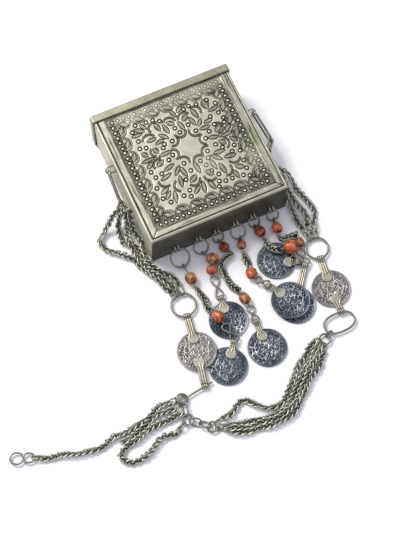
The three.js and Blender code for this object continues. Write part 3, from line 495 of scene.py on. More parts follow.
# End cap
# A shallow cap of thinner sheet, folded and soldered, that slips over the mouth of the case and is drawn
# off along it to put the book in. Its rim is a little uneven, and its edges are worn round.
LID_HALF, LID_SHEET, LID_TOP_Z = 41.1, 0.8, 27.1
LID_EDGE, LID_END = 36.2, 41.0
LID_R = 1.2
LID_WAVE = 0.12
INSIDE_ROWS, RIM_ROWS = slice(0, 3), slice(2, 6)

lid_inner = LID_HALF - LID_SHEET
lid_ceiling = LID_TOP_Z - LID_SHEET
lid_rows = np.concatenate([
    [(LID_END - LID_SHEET, 0, LID_TOP_Z / 2, LID_TOP_Z / 2, 0)],
    [(LID_END - LID_SHEET, lid_inner, LID_SHEET, lid_ceiling, 0.3)],
    [(LID_EDGE, lid_inner, LID_SHEET, lid_ceiling, 0.3)],
    [(LID_EDGE - 0.02, lid_inner + 0.3, 0.5, LID_TOP_Z - 0.5, 0.5)],
    [(LID_EDGE + 0.1, LID_HALF, 0, LID_TOP_Z, LID_R), (LID_EDGE + 0.5, LID_HALF, 0, LID_TOP_Z, LID_R)],
    round_end(LID_END, -1, LID_HALF, 0, LID_TOP_Z, LID_R)[::-1],
    [(LID_END, 39, 2, 25, 0.4), (LID_END, 20, 7, 20, 0.3), (LID_END, 0, LID_TOP_Z / 2, LID_TOP_Z / 2, 0)]])
lid_grid = box_rows(lid_rows, np.linspace(0.01, 0.99, 9))
lid_grid[RIM_ROWS, :, 1] += LID_WAVE * np.sin(lid_grid[RIM_ROWS, :, 0] / 7 + 1)
# The cap is painted darker near its edge at the mouth, a painted shade along the gap over the plate.
lid_marks = 0.17 + 0.08 * np.clip((LID_EDGE + 0.6 - lid_grid[..., 1]) / 0.6, 0, 1)
lid_marks[INSIDE_ROWS] = INSIDE_SHADE
make_piece("end_cap", surface(lid_grid, wrap_v=True), lid_marks, sheet_silver, "sheet_silver", ["lid"], "lid")

# Side bails
# Long links of thick drawn wire, hung in the eyelets at both sides of the case and slanting down along its
# walls. Their lower bends hold the ends of the neck chains.
BAIL_HALF, BAIL_WIRE, BAIL_BOW, BAIL_MARK = 2.7, 0.66, 1.3, 0.05


def stadium(start, end, half, plane, points=28):
    """Route of a link whose bends pass through two points: half circles joined by straight sides, square to
    the plane's normal."""
    run = np.asarray(end, float) - start
    reach = np.linalg.norm(run) / 2
    bend = min(half, reach)
    along = run / (2 * reach)
    across = unit(np.cross(plane, along))
    turn = (np.arange(points) + 0.5) * 2 * np.pi / points
    u = bend * np.cos(turn) + np.sign(np.cos(turn)) * (reach - bend)
    return (start + run / 2) + np.outer(u, along) + np.outer(bend * np.sin(turn), across)


# Drawn silver wire: smoother than the sheet, bright on its back and grey where it is not rubbed.
wire_silver = worn_metal("drawn_silver_wire", [
    (0.2, "#B9B9AE"), (0.45, "#8B8A80"), (0.75, "#55544D"), (1.0, "#2E2D29")],
    roughness=0.36, stain_mm=3.0, grain_mm=0.5, grain_depth=0.05, stain_share=0.75)
for side, bail in BAILS.items():
    run = bail["end"] - bail["hinge"]
    flat = np.cross(run, UP)
    route = stadium(bail["hinge"], bail["end"], BAIL_HALF, flat, 60)
    share = np.clip((route - bail["hinge"]) @ run / np.sum(run ** 2), 0, 1)
    route[:, 0] += BAIL_BOW * bail["side"] * np.sin(np.pi * share) ** 2
    make_piece(f"bail_{side}", wire(route, BAIL_WIRE, unit(flat), 12, closed=True), BAIL_MARK, wire_silver,
               "wire_silver", [f"side_bail_{side}"])

# Drops
# Six drops hang from rings in the staples: a coral bead on a wire with eyes, a short woven chain, a second
# bead whose wire ends in a long hook, and a coin soldered to a ribbed strap that folds round the hook.
RING_TOP_Y, LIE_Z = -41.8, 1.75
RING_WIRE, EYE_WIRE, HOOK_WIRE = 0.54, 0.42, 0.5
EYE_R = 1.3
HOOK_HALF, HOOK_POINTS = 1.6, 56
HOOK_SWELL, HOOK_LIFT = 1.35, 1.1
WIRE_MARK = 0.1
BEAD = {"side": 0.66, "end": 0.8, "lump": 1.08, "dimple": 0.5}
LINK = {"half_length": 1.55, "half_width": 0.76, "wire": 0.36, "spread": 0.52}
DROP_WEAVE = {"size": 1.36, "pitch": 1.05, "dirt": 0.14}
LINK_LEAN, LINK_DIP = 0.34, 0.14
LINK_SWAY, LINK_ROLL, SWAY_EASE = 0.75, 0.6, 6.5
# The dark core inside each chain is painted shade, standing for the inside of the dense weave.
SHADE_CORE_R, SHADE_CORE_MARK = 0.8, 0.4
CHAIN_Z = 1.42
COIN = {"radius": 10.5, "thick": 1.2, "relief": 0.26, "beads": 64, "waves": 14, "pitch": (15.0, 38.0),
        "rows": 60, "steps": 200}
STRAP = {"thick": 0.5, "rib": 0.22, "hole": 1.0, "tab": 2.9, "tab_reach": 7.0, "width": 3.2,
         "flat_rows": 26, "bend_rows": 22, "columns": 21}
FLOOR_GAP = 0.05
# Each drop: ring size across; beads as place, radius, half length and stone; tail and eye, where the beads'
# wires hold the chain; the two bends of the hook, with half its width if it is a plain one; and the coin's
# place. The chain's points without a height lie on the surface.
DROPS = [
    {"ring": 10.4, "upper": ((-25.4, -59.4, 3.25), 3.2, 3.2, "brown_coral"), "tail": (-25.2, -64.8, LIE_Z),
     "chain": [(-25.1, -66.8), (-24.5, -71), (-24.2, -75.5, 1.6), (-23.7, -79.4, 2.85)],
     "eye": (-23, -81.4, 3.2), "lower": ((-21.4, -85.6, 4.75), 3.3, 3.4, "orange_coral"),
     "hook": [(-20.2, -90.4, 3.3), (-17.8, -101.6, LIE_Z)], "coin": (-27.6, -111.7, FLOOR_GAP)},
    {"ring": 8.2, "upper": ((-10.4, -54, 3.55), 3.5, 3.3, "brown_coral"),
     "lower": ((-13.4, -59.7, 3.55), 3.4, 2.3, "orange_coral"),
     "hook": [(-13.8, -63, LIE_Z), (-15.4, -75.8, LIE_Z)], "coin": (-16.6, -88.4, FLOOR_GAP)},
    {"ring": 6.2, "upper": ((-1.5, -49.9, 2.95), 2.9, 2.8, "dark_red_coral"), "tail": (0.6, -53.6, LIE_Z),
     "chain": [(-0.2, -55.6), (-3.4, -56.2), (-7.1, -58.2), (-8.4, -60.6), (-9, -64.5), (-7.4, -70),
               (-4.8, -75.2)],
     "eye": (-4.3, -77.1, LIE_Z), "lower": ((-3.9, -81.6, 3.15), 3.1, 3.1, "brown_coral"),
     "hook": [(-3.2, -86.4, LIE_Z), (-3.9, -95.8, LIE_Z)], "coin": (-4.3, -110.9, FLOOR_GAP)},
    {"ring": 8.4, "upper": ((7.7, -52.6, 2.75), 2.7, 2.7, "brown_coral"), "tail": (6.8, -56.6, LIE_Z),
     "chain": [(6.5, -58.5), (6.4, -61), (6.5, -64)],
     "eye": (6.4, -65.8, LIE_Z), "lower": ((5.5, -70, 3.25), 3.2, 3.2, "orange_coral"),
     "hook": [(6.6, -73.8, 2.3), (11.2, -80, 2.3)], "coin": (18.1, -92.6, 2.15)},
    {"ring": 6.2, "upper": ((19.9, -49.8, 3.45), 3.4, 3.1, "dark_red_coral"), "tail": (20.6, -54.4, LIE_Z),
     "chain": [(20.5, -56.3, 2.8), (20.4, -58.6, 2.8), (21.9, -61.5, 2.8), (25.1, -63.6, 2.8)],
     "eye": (26.9, -64.3, 3.1), "lower": ((30.8, -65.4, 5.15), 3.7, 3.6, "orange_coral"),
     "hook": [(30.4, -69.8, 2.5), (29.2, -75, 2.5)], "hook_half": 2.0, "coin": (21.3, -68, FLOOR_GAP)},
    {"ring": 6.6, "upper": ((29.5, -51.6, 3.25), 3.2, 3.1, "orange_coral"), "tail": (28.7, -55.9, LIE_Z),
     "chain": [(28.9, -58), (31, -59.5), (34, -59.5), (37, -59.3)],
     "eye": (37.9, -60.4, LIE_Z), "lower": ((37.2, -64.3, 2.65), 2.6, 2.7, "brown_coral"),
     "hook": [(35.2, -67.6, LIE_Z), (35.3, -77.4, LIE_Z)], "coin": (20, -95.4, FLOOR_GAP)},
]


def smooth_route(points, step):
    """A centripetal Catmull-Rom curve: each stretch blends straight lines through the four nearest points,
    with knots apart by the root of their distance. The curve is walked in equal steps."""
    points = np.array([(*p, CHAIN_Z)[:3] for p in points], float)
    ends = np.vstack([2 * points[0] - points[1], points, 2 * points[-1] - points[-2]])
    knots = np.concatenate([[0], np.cumsum(np.linalg.norm(np.diff(ends, axis=0), axis=1) ** 0.5)])
    lines = [ends[i:len(ends) - 3 + i, None] for i in range(4)]
    knot = [knots[i:len(knots) - 3 + i, None, None] for i in range(4)]
    t = knot[1] + (knot[2] - knot[1]) * np.linspace(0, 1, 16, endpoint=False)[None, :, None]
    for spans in (((0, 1), (1, 2), (2, 3)), ((0, 2), (1, 3)), ((1, 2),)):
        lines = [((knot[b] - t) * lines[i] + (t - knot[a]) * lines[i + 1]) / (knot[b] - knot[a])
                 for i, (a, b) in enumerate(spans)]
    curve = np.vstack([lines[0].reshape(-1, 3), points[-1]])
    run = np.concatenate([[0], np.cumsum(np.linalg.norm(np.diff(curve, axis=0), axis=1))])
    stations = np.linspace(0, run[-1], max(2, round(run[-1] / step) + 1))
    return np.stack([np.interp(stations, run, curve[:, i]) for i in range(3)], axis=-1)


def woven_strand(points, size, pitch, dirt):
    """Loop-in-loop chain: at the stations along the route oval links lean out to left and right in turn, so
    that they make a herringbone round a dark core, a tube painted dark as the shade inside the dense weave.
    An oval is a circle of wire carried round an ellipse, and size is that of the links. The strand sways and
    rolls a little as it lies, and dirt darkens it all."""
    half_length, half_width, thick, spread = (size * value for value in LINK.values())
    stations = smooth_route(points, pitch) + 0.6 * (size - 1) * UP
    run = unit(np.gradient(stations, axis=0))
    side = unit(np.cross(run, UP))
    rise = np.cross(side, run)
    place = np.arange(len(stations))
    gone = pitch * place
    start = stations[0].sum()
    ease = np.clip(np.minimum(gone, gone[::-1]) / SWAY_EASE, 0, 1)
    sway = LINK_SWAY * ease * (np.sin(0.19 * gone + start) + 0.4 * np.sin(0.45 * gone + 2 * start))
    stations = stations + sway[:, None] * side
    roll = (LINK_ROLL * np.sin(0.23 * gone + 2 * start))[:, None]
    side, rise = side * np.cos(roll) + rise * np.sin(roll), rise * np.cos(roll) - side * np.sin(roll)
    outward = side * np.where(place % 2, 1.0, -1.0)[:, None]
    along = unit(run + LINK_LEAN * outward - LINK_DIP * rise)
    face = unit(np.cross(along, 0.7 * rise + outward))
    broad = np.cross(face, along)
    centre = stations + spread * outward + 0.15 * rise
    turn = around(12)[:, None]
    along, broad = along[:, None], broad[:, None]
    oval = half_length * np.cos(turn) * along + half_width * np.sin(turn) * broad
    out = unit(np.cos(turn) / half_length * along + np.sin(turn) / half_width * broad)
    round_wire = around(4)[:, None]
    skin = np.cos(round_wire) * out[:, :, None] + np.sin(round_wire) * face[:, None, None]
    grid = centre[:, None, None] + oval[:, :, None] + thick * skin
    shade_core = wire(stations, size * SHADE_CORE_R, UP, 6)
    shape = joined([surface(grid, wrap_u=True, wrap_v=True), shade_core])
    return shape, np.repeat([dirt, SHADE_CORE_MARK + dirt], [grid.size // 3, len(shade_core[0])])


def eye_pin(centre, shank_end):
    """A wire that runs from its shank to an upright eye, bent most of the way round a point."""
    along = unit((shank_end - centre) * (1, 1, 0))
    axis = np.cross(UP, along)
    over = np.cross(along, axis)
    turn = np.radians(np.linspace(0, 320, 22))
    bend = centre + EYE_R * (np.outer(np.cos(turn), over) - np.outer(np.sin(turn), along))
    return wire(np.vstack([shank_end, bend]), EYE_WIRE, axis)


def stone(centre, axis, radius, half_length, seed):
    """A drilled coral bead: an oval turned about its wire, made squarer by powers of its sine and cosine,
    with a dimple at each hole, and lumps from a few waves so that no two are alike."""
    along = unit(axis)
    across = unit(np.cross(along, UP + 0.01))
    rise = np.cross(across, along)
    u = np.linspace(0, np.pi, 29)[:, None]
    v = around(36)[None]
    lump = 1 + 0.045 * np.sin(2 * v + seed) * np.sin(u) + 0.03 * np.sin(3 * v - 2 * seed + 2 * u)
    lump = lump + 0.012 * np.sin(7 * v + 5 * u + seed)
    flat = np.abs(np.sin(u)) ** BEAD["side"] * radius * lump / BEAD["lump"]
    dimple = BEAD["dimple"] * bell(np.sin(u), 0.16)
    length = np.sign(np.cos(u)) * (dimple - np.abs(np.cos(u)) ** BEAD["end"] * half_length)
    grid = centre + length[..., None] * along
    grid = grid + (flat * np.cos(v))[..., None] * across + (flat * np.sin(v))[..., None] * rise
    return surface(grid, wrap_v=True), bell(np.sin(u), 0.17) + 0 * v


def coin_disc(centre, seed, petals):
    """A struck coin as a turned surface: its height over radius and angle is a raised rim, a row of beads, a
    rosette in a ring, and a worn field of curls, which stand where waves of many lengths that run many ways
    cancel out. The marks are light on what stands up."""
    thick, rows = COIN["thick"], COIN["rows"]
    r = np.concatenate([np.linspace(0, 1, rows), [1.0, 1.0, 0.5, 0]])[:, None]
    v = around(COIN["steps"])[None]
    x, y = r * np.cos(v + seed), r * np.sin(v + seed)
    beads = bell(r - 0.9, 0.025) * (0.5 + 0.5 * np.cos(COIN["beads"] * v))
    rings = 0.8 * bell(r - 0.97, 0.03) + 0.8 * bell(r - 0.62, 0.02) + 0 * v
    petal = bell(r - 0.3 - 0.09 * np.cos(petals * (v + seed)), 0.03)
    way = np.arange(COIN["waves"]) * 2.4 + seed
    pitch = np.linspace(*COIN["pitch"], COIN["waves"])
    waves = pitch * (x[..., None] * np.cos(way) + y[..., None] * np.sin(way)) + 5.3 * way * way
    level = np.sin(waves).sum(axis=-1) / np.sqrt(COIN["waves"] / 2)
    curl = np.clip(1.25 - np.abs(level) / 0.5, 0, 1) * np.clip((0.93 - r) / 0.03, 0, 1)
    relief = np.clip(np.maximum.reduce([0.7 * beads, rings, 0.6 * petal, curl]), 0, 1)
    relief = relief * (0.7 + 0.3 * np.sin(2.1 * x + seed) * np.sin(1.7 * y + 2 * seed))
    z = thick - COIN["relief"] + COIN["relief"] * relief
    z[rows:] = np.array([thick - 0.1, 0.12, 0.0, 0.0])[:, None]
    edge = COIN["radius"] * r * (1 + 0.004 * np.sin(5 * v + seed)) - np.where(z < 0.1, 0.1, 0) * r
    grid = np.stack([centre[0] + edge * np.cos(v), centre[1] + edge * np.sin(v), centre[2] + z], axis=-1)
    marks = 0.68 - 0.72 * relief + 0.1 * np.sin(3.1 * x - seed) * np.sin(2.7 * y + seed)
    return surface(grid, wrap_v=True), marks


def ribbed_strap(centre, end, width):
    """A strap of thin sheet, a section of three ribs carried along a path: from a round tab on the coin, out
    along the coin's face, over the wire and back under it."""
    rows, bend_rows, columns = STRAP["flat_rows"], STRAP["bend_rows"], STRAP["columns"]
    centre, end = np.asarray(centre, float), np.asarray(end, float)
    level = unit((end - centre) * (1, 1, 0))
    side = np.cross(UP, level)
    reach = np.linalg.norm((end - centre)[:2])
    face_z = centre[2] + COIN["thick"] + STRAP["thick"] / 2
    bend = STRAP["hole"] + STRAP["thick"] / 2
    flat = np.linspace(STRAP["tab_reach"] - STRAP["tab"], reach - bend - 1.2, rows)
    turn = np.radians(np.linspace(140, -165, bend_rows))
    u = np.concatenate([flat, reach + bend * np.cos(turn)])
    z = np.concatenate([np.full(rows, face_z), end[2] + bend * np.sin(turn)])
    run = unit(np.gradient(np.stack([u, z], axis=-1), axis=0))
    past_tab = u - STRAP["tab_reach"]
    tab = STRAP["tab"] * np.sqrt(np.clip(1 - (past_tab / (STRAP["tab"] + 0.02)) ** 2, 0, 1))
    half = np.where(past_tab < 0, tab, np.maximum(tab, width / 2))
    half[rows:] = np.linspace(width / 2, 0.4 * width, bend_rows)
    across = np.concatenate([np.linspace(-1, 1, columns), np.linspace(1, -1, 4)])[None]
    grown = np.clip((past_tab - 0.4) / 1.6, 0, 1)[:, None]
    ribs = grown * np.cos(1.5 * np.pi * across) ** 2
    lift = STRAP["thick"] / 2 + STRAP["rib"] * ribs
    lift[:, columns:] = -STRAP["thick"] / 2
    base = centre * (1, 1, 0) + u[:, None] * level + z[:, None] * UP
    normal = -run[:, 1:] * level + run[:, :1] * UP
    grid = base[:, None] + (half[:, None] * across)[..., None] * side + lift[..., None] * normal[:, None]
    ends = [np.broadcast_to(row.mean(axis=0), (1, across.size, 3)) for row in (grid[0], grid[-1])]
    grid = np.concatenate([ends[0], grid, ends[1]])
    marks = np.pad(0.1 + 0.36 * (grown - ribs), ((1, 1), (0, 0)), mode="edge")
    return surface(grid, wrap_v=True), marks.ravel()


def figure_eight(start, end, half):
    """Route of a wire hook bent into two loops: along its run by a cosine of the turn, across it by a sine of
    twice the turn, one strand lifted over the other where they cross."""
    along = unit(end - start)
    across = unit(np.cross(UP, along))
    turn = around(HOOK_POINTS)
    route = np.outer(np.linalg.norm(end - start) / 2 * np.cos(turn), along)
    route = route + np.outer(HOOK_SWELL * half * np.sin(2 * turn), across)
    lift = np.outer(HOOK_LIFT * HOOK_WIRE * np.sin(turn), np.cross(along, across))
    return (start + end) / 2 + route + lift


def strap_hold(start, end, half, coin):
    """Where a strap takes hold of a hook: the place on its last bend that lies square to the strap."""
    run = unit(end - start)
    pull = unit((end - coin) * (1, 1, 0))
    return end - half * run + half * np.sign(np.dot(pull, run)) * pull


def coral(name, light, deep, roughness):
    """Precious coral, polished by wear: mottled by noise, with small pits and a dark hole, and a little light
    let in under the surface."""
    material, tree, shader, place = new_material(name)
    marks = add_node(tree, "ShaderNodeAttribute", {}, attribute_name="marks")
    mottle = add_node(tree, "ShaderNodeTexNoise", {
        "Vector": (place, "Object"), "Scale": 1 / (2.2 * MM), "Detail": 5.0, "Roughness": 0.65})
    pits = add_node(tree, "ShaderNodeTexVoronoi", {"Vector": (place, "Object"), "Scale": 1 / (0.9 * MM)})
    share = add_node(tree, "ShaderNodeMath", {
        0: (marks, "Fac"), 1: 0.4, 2: (mottle, "Fac")}, operation="MULTIPLY_ADD")
    ramp = add_node(tree, "ShaderNodeValToRGB", {"Fac": (share, "Value")}, [
        (0.4, light), (0.56, deep), (0.74, "#4A2012"), (1.0, "#1E0D08")])
    gloss = add_node(tree, "ShaderNodeMapRange", {
        "Value": (mottle, "Fac"), "To Min": roughness - 0.12, "To Max": roughness + 0.14})
    bump = add_node(tree, "ShaderNodeBump", {
        "Height": (pits, "Distance"), "Strength": 0.35, "Distance": 0.15 * MM})
    feed(tree, shader, {
        "Base Color": (ramp, "Color"), "Roughness": (gloss, "Result"), "Normal": (bump, "Normal"),
        "Subsurface Weight": 0.12, "Subsurface Radius": (1.2 * MM, 0.5 * MM, 0.3 * MM)})
    return material


# Branch coral in three colours, from fresh orange to old brown and dark red.
corals = {name: coral(name, *look) for name, look in {
    "orange_coral": ("#CE7046", "#8C4527", 0.36), "brown_coral": ("#C08257", "#76482F", 0.4),
    "dark_red_coral": ("#B2583F", "#6A3325", 0.38)}.items()}
# Woven silver wire: rubbed olive-grey on the backs of the links, black between them with dirt and with the
# # painted shade of the dark core.
chain_silver = worn_metal("woven_silver_wire", [
    (0.15, "#D0D1C5"), (0.4, "#97988A"), (0.66, "#4D4E47"), (1.0, "#1B1C1A")],
    roughness=0.38, stain_mm=2.5, grain_mm=0.4, grain_depth=0.04, stain_share=0.5)
# Old struck silver: blue-grey tarnish all over, with the relief rubbed light.
coin_silver = worn_metal("struck_coin_silver", [
    (0.18, "#EDEDEA"), (0.42, "#A5A9AE"), (0.68, "#5A616C"), (1.0, "#2A2E36")],
    roughness=0.48, stain_mm=4.0, grain_mm=0.5, grain_depth=0.06, stain_share=0.5)
# The same silver on the two neck coins, which hands have kept paler and warmer.
handled_silver = worn_metal("handled_coin_silver", [
    (0.16, "#DAD8D0"), (0.42, "#B8B6AF"), (0.7, "#8E8C8A"), (1.0, "#565559")],
    roughness=0.46, stain_mm=5.0, grain_mm=0.5, grain_depth=0.06, stain_share=0.5)
# Strap sheet: paler and yellower than the coins.
strap_silver = worn_metal("rolled_strap_silver", [
    (0.2, "#CBCABC"), (0.5, "#8F8C7D"), (0.8, "#4B4941"), (1.0, "#2B2925")],
    roughness=0.4, stain_mm=3.0, grain_mm=0.5, grain_depth=0.05, stain_share=0.5)


def make_coin(name, node, centre, ends, width, seed, petals, silver):
    """A coin and its straps, each a piece of its own."""
    make_piece(name, *coin_disc(centre, seed, petals), silver, "coin_silver", [node])
    shapes, marks = zip(*[ribbed_strap(centre, end, width) for end in ends])
    make_piece(f"{name}_strap", joined(shapes), np.concatenate(marks), strap_silver, "coin_silver")


def make_wire(name, wires, nodes=()):
    """Several lengths of wire as one piece."""
    make_piece(name, joined(wires), WIRE_MARK, wire_silver, "wire_silver", nodes)


def make_stone(name, place, axis, seed):
    """A coral bead that replaces the bead of its place on the drop."""
    centre, radius, half_length, kind = place
    make_piece(f"{name}_stone", *stone(np.array(centre), axis, radius, half_length, seed), corals[kind], kind,
               [f"{name}_bead"])


for number, (drop, drop_x) in enumerate(zip(DROPS, DROP_X), 1):
    name = f"drop_{number}"
    fall = np.arcsin((STAPLE["z"] - LIE_Z) / drop["ring"])
    down = np.array([0, -np.cos(fall), -np.sin(fall)])
    top = np.array([drop_x, RING_TOP_Y, STAPLE["z"]])
    foot = top + drop["ring"] * down
    plane = np.cross((1.0, 0, 0), down)
    ring_route = stadium(top, foot, drop["ring"] / 2, plane, 36)
    make_wire(f"{name}_jump_ring", [wire(ring_route, RING_WIRE, plane, closed=True)], [f"{name}_ring"])

    upper, lower = (np.array(drop[place][0]) for place in ("upper", "lower"))
    make_stone(f"{name}_upper", drop["upper"], upper - foot, number)
    top_eye = eye_pin(foot, upper)
    if "chain" in drop:
        make_wire(f"{name}_upper_wire", [top_eye, eye_pin(drop["tail"], upper)])
        make_piece(f"{name}_woven_chain", *woven_strand(drop["chain"], **DROP_WEAVE), chain_silver,
                   "chain_silver", [f"{name}_chain"])
        lower_wires = [eye_pin(drop["eye"], lower)]
        lower_axis = lower - drop["eye"]
    else:
        lower_wires = [top_eye, wire([upper, lower], EYE_WIRE, UP)]
        lower_axis = lower - upper
    make_stone(f"{name}_lower", drop["lower"], lower_axis, number + 3.5)
    start, end = (np.array(p) for p in drop["hook"])
    half = drop.get("hook_half", HOOK_HALF)
    bends = stadium(start, end, half, UP) if "hook_half" in drop else figure_eight(start, end, half)
    hook = wire(bends, HOOK_WIRE, UP, closed=True)
    make_wire(f"{name}_lower_wire", [*lower_wires, wire([lower, start], HOOK_WIRE, UP), hook])
    hold = strap_hold(start, end, half, drop["coin"])
    make_coin(f"{name}_struck_coin", f"{name}_coin", drop["coin"], [hold], STRAP["width"], 1.7 * number,
              5 + number % 4, coin_silver)

# Neck rings, coins and links
# Flat rings of thick wire join the strands, with two more coins strapped between them and leaning links
# where the strands come together.
BIG_RING_WIRE, RING_POINTS = 0.62, 44
NECK_STRAP_WIDTH = 3.6
# Rings: place, radius, and how much longer than wide one is drawn, which also squares it.
NECK_RINGS = {
    "neck_ring_left": ((-35.1, -71.2), 6.6, 0), "neck_ring_right": ((44.4, -70.9), 6.2, 0),
    "neck_ring_lower": ((36.5, -114.3), 5.2, 3.3), "ring_lower_right": ((25.2, -119.6), 3.0, 0),
    "ring_lower_left": ((-48.8, -138.6), 2.7, 0), "ring_middle": ((-58.9, -129.9), 2.9, 0)}
NECK_COINS = {
    "neck_coin_left": ((-39.3, -97.7, 1.45), [(-36.1, -77.7, LIE_Z), (-43.5, -117, LIE_Z)]),
    "neck_coin_right": ((41.3, -94.8, FLOOR_GAP), [(43.6, -77.05, LIE_Z), (40, -109.1, LIE_Z)])}
# Links between the rings: both ends, how many there are in a row and half their width.
RING_LINKS = {
    "link_lower_right": ((30.4, -116.9, LIE_Z), (26.7, -118.85, LIE_Z), 1, 1.55),
    "link_lower_left": ((-57.65, -131, LIE_Z), (-49.9, -137.6, LIE_Z), 2, 2.1),
    "link_hub": ((-57, -120, LIE_Z), (-58.8, -128.2, LIE_Z), 1, 1.55)}
LINK_LAP, LINK_FLAT = 0.55, 0.7
SQUARED, ROUND = 2.4, 2.0

for name, (centre, radius, draw) in NECK_RINGS.items():
    reach = np.array([radius + draw, 0, 0])
    centre = np.array([*centre, LIE_Z])
    thick = BIG_RING_WIRE if radius > 5 else RING_WIRE
    turn = around(RING_POINTS)[:, None]
    corner = 2 / (SQUARED if draw else ROUND)
    bend = [np.sign(way) * np.abs(way) ** corner for way in (np.cos(turn), np.sin(turn))]
    route = centre + bend[0] * reach + bend[1] * (0, radius, 0)
    make_wire(f"{name}_wire", [wire(route, thick, UP, 10, closed=True)], [name])
for seed, (name, (centre, ends)) in enumerate(NECK_COINS.items()):
    make_coin(f"{name}_struck", name, centre, ends, NECK_STRAP_WIDTH, 11.3 + 2.1 * seed, 6 + 2 * seed,
              handled_silver)


def link_row(start, end, count, half, lap):
    """Routes and flats of a row of links from one point to another, each holding the next and leaning over
    to either side in turn, the wider the flatter."""
    start, end = np.asarray(start, float), np.asarray(end, float)
    run = unit(end - start)
    stops = np.linspace(start, end, count + 1)
    leans = [unit(side * unit(np.cross(run, UP)) + LINK_FLAT * half * UP) for side in (1, -1)] * count
    return [(stadium(stops[i] - lap * run, stops[i + 1] + lap * run, half, leans[i]), leans[i])
            for i in range(count)]


for name, (start, end, count, half) in RING_LINKS.items():
    links = link_row(start, end, count, half, LINK_LAP * (count > 1))
    make_wire(f"{name}_wire", [wire(route, HOOK_WIRE, lean, closed=True) for route, lean in links], [name])

# Neck chains
# Loop-in-loop chains of fine silver wire, with wide links at their ends. Four strands run from the left bail
# and three from the right; three lie together at the back of the neck beside one that strays, and the
# spare lengths with the end hook lie out to the left.
CHAIN_R = 1.3
NECK_WEAVE = {"size": 1.2, "pitch": 1.62, "dirt": 0.0}
SPACING = 2 * CHAIN_R + 0.25
UPPER_Z = CHAIN_Z + SPACING * np.sin(np.pi / 3) + 0.125
END_LINK_HALF, END_LINK_LAP, END_LINK_REACH, END_LINK_MARK = 1.5, 0.9, 6.5, 0.18
LEFT_RUN = [(-46.6, -36), (-46.6, -40.6), (-43.8, -47), (-39.8, -53.4), (-36.9, -60.4)]
# Left strands: the way from the bail, place in the run in spacings, height, angle on the bail and angle on
# the ring.
LEFT_STRANDS = [
    ([(-46, -10.5, 12.8), (-49, -11.4, 10.8), (-53, -13.2, 5.8), (-57.5, -15.6, 1.8), (-61.4, -17.6),
      (-62.4, -20.4), (-60.8, -24.4), (-56.4, -28.2), (-51.4, -32)], -0.5, CHAIN_Z, 33, 116),
    ([(-43.6, -12.6, 9.8), (-44.4, -15.2, 6), (-45.4, -17.8, 2.9), (-45.6, -20.4, 2.6), (-46.2, -23.6, 4.8),
      (-47, -28, 4.8), (-47, -32, 4.2)], 0, UPPER_Z, -11, 102),
    ([(-46.2, -12.2, 7.6), (-48, -14.2, 4.4), (-49, -17.4, 1.7), (-49.8, -21), (-49.8, -25), (-46.8, -26.6),
      (-45.2, -30.4)], 0.5, CHAIN_Z, -33, 88),
    ([(-41.8, -13.6, 12.4), (-41.8, -17, 8.6), (-42, -22, 3.4), (-42, -28, 1.6), (-42.4, -33)],
     1.57, CHAIN_Z, 11, 70)]
# Right strands: the way from the bail to the ring, and the angle on each.
RIGHT_STRANDS = [
    ([(42.4, -11.8, 14.8), (42, -16, 11.4), (43.2, -20.8, 8), (46.8, -25, 5.8), (49, -29.4, 3.1),
      (49.8, -33.6), (51.6, -38.5), (53, -44.5), (51.8, -50.5), (49.6, -56)], 30, 66),
    ([(41.9, -12, 10.4), (42, -15.8, 7.2), (42, -19.6, 4.6), (44.6, -24.4, 3.9), (45.5, -30.6, 1.6),
      (45.8, -36), (46.5, -43), (46.6, -50), (45.8, -56)], 0, 87),
    ([(42.4, -11.2, 6.6), (42, -15, 3.4), (42, -20, 1.7), (42, -30), (42, -40), (42, -46), (42.4, -52),
      (42.4, -56.6)], -30, 108)]
LOWER_RUN = [(19.8, -124.2), (13, -130), (5, -137), (-4, -143.8), (-12, -147.4), (-20, -148.2), (-30, -146.8),
             (-39.4, -143.6)]
BUNDLE_SPACING, BUNDLE_RISE = 2.2, 1.0
CHAIN_NAMES = {"neck_chain_lower_bundle": "neck_strands_lower", "neck_chain_lower_loose": "neck_strand_loose"}
# Angles on the rings at both ends, of the bundle's strands by their place in spacings and of the loose one.
BUNDLE_ENDS = {-1: (200, -45), 0: (220, -28), 1: (240, -10)}
LOOSE_ENDS = (168, 25)
LOOSE_RUN = [(19.6, -118.4), (14.4, -120.4), (8, -125.4), (1, -132.8), (-7.4, -139.2), (-13.6, -141.4),
             (-18.4, -141), (-21.4, -138.8), (-24.4, -136.2), (-28, -133.2), (-32.6, -133.4), (-37, -135.6),
             (-41.6, -136.6)]
PIN = {"tip": np.array([-39.2, -116.6, LIE_Z]), "loop": np.array([-57.3, -118.6, LIE_Z]), "radius": 3.0}
# Spare strands: angle on the pin's loop, the way, and what the far end holds, if anything.
SPARE_STRANDS = {
    "spare_chain_long": (165, [
        (-63.8, -117.6), (-70.6, -117.4), (-78, -119.8), (-85.4, -122.4), (-92.6, -123.6), (-97.6, -123.2),
        (-104, -124), (-115, -123.6), (-123, -121.8), (-130, -119.6), (-136.4, -116.9)],
        (-138.9, -115.6, LIE_Z)),
    "spare_chain_short": (199, [
        (-63.6, -121.6), (-70, -121), (-78, -123.2), (-86, -126), (-93.6, -127)], None),
    "spare_chain_back": (233, [
        (-61.6, -125.2), (-66, -125.6), (-72, -124.8), (-79, -127), (-87, -129.4), (-94, -130.4),
        (-98.4, -132), (-98.2, -135.6), (-93.6, -139), (-87.6, -138.6), (-82, -136), (-77.6, -134.2),
        (-72.6, -133.4), (-67.4, -134.2)], (-61.5, -131.1, LIE_Z))}


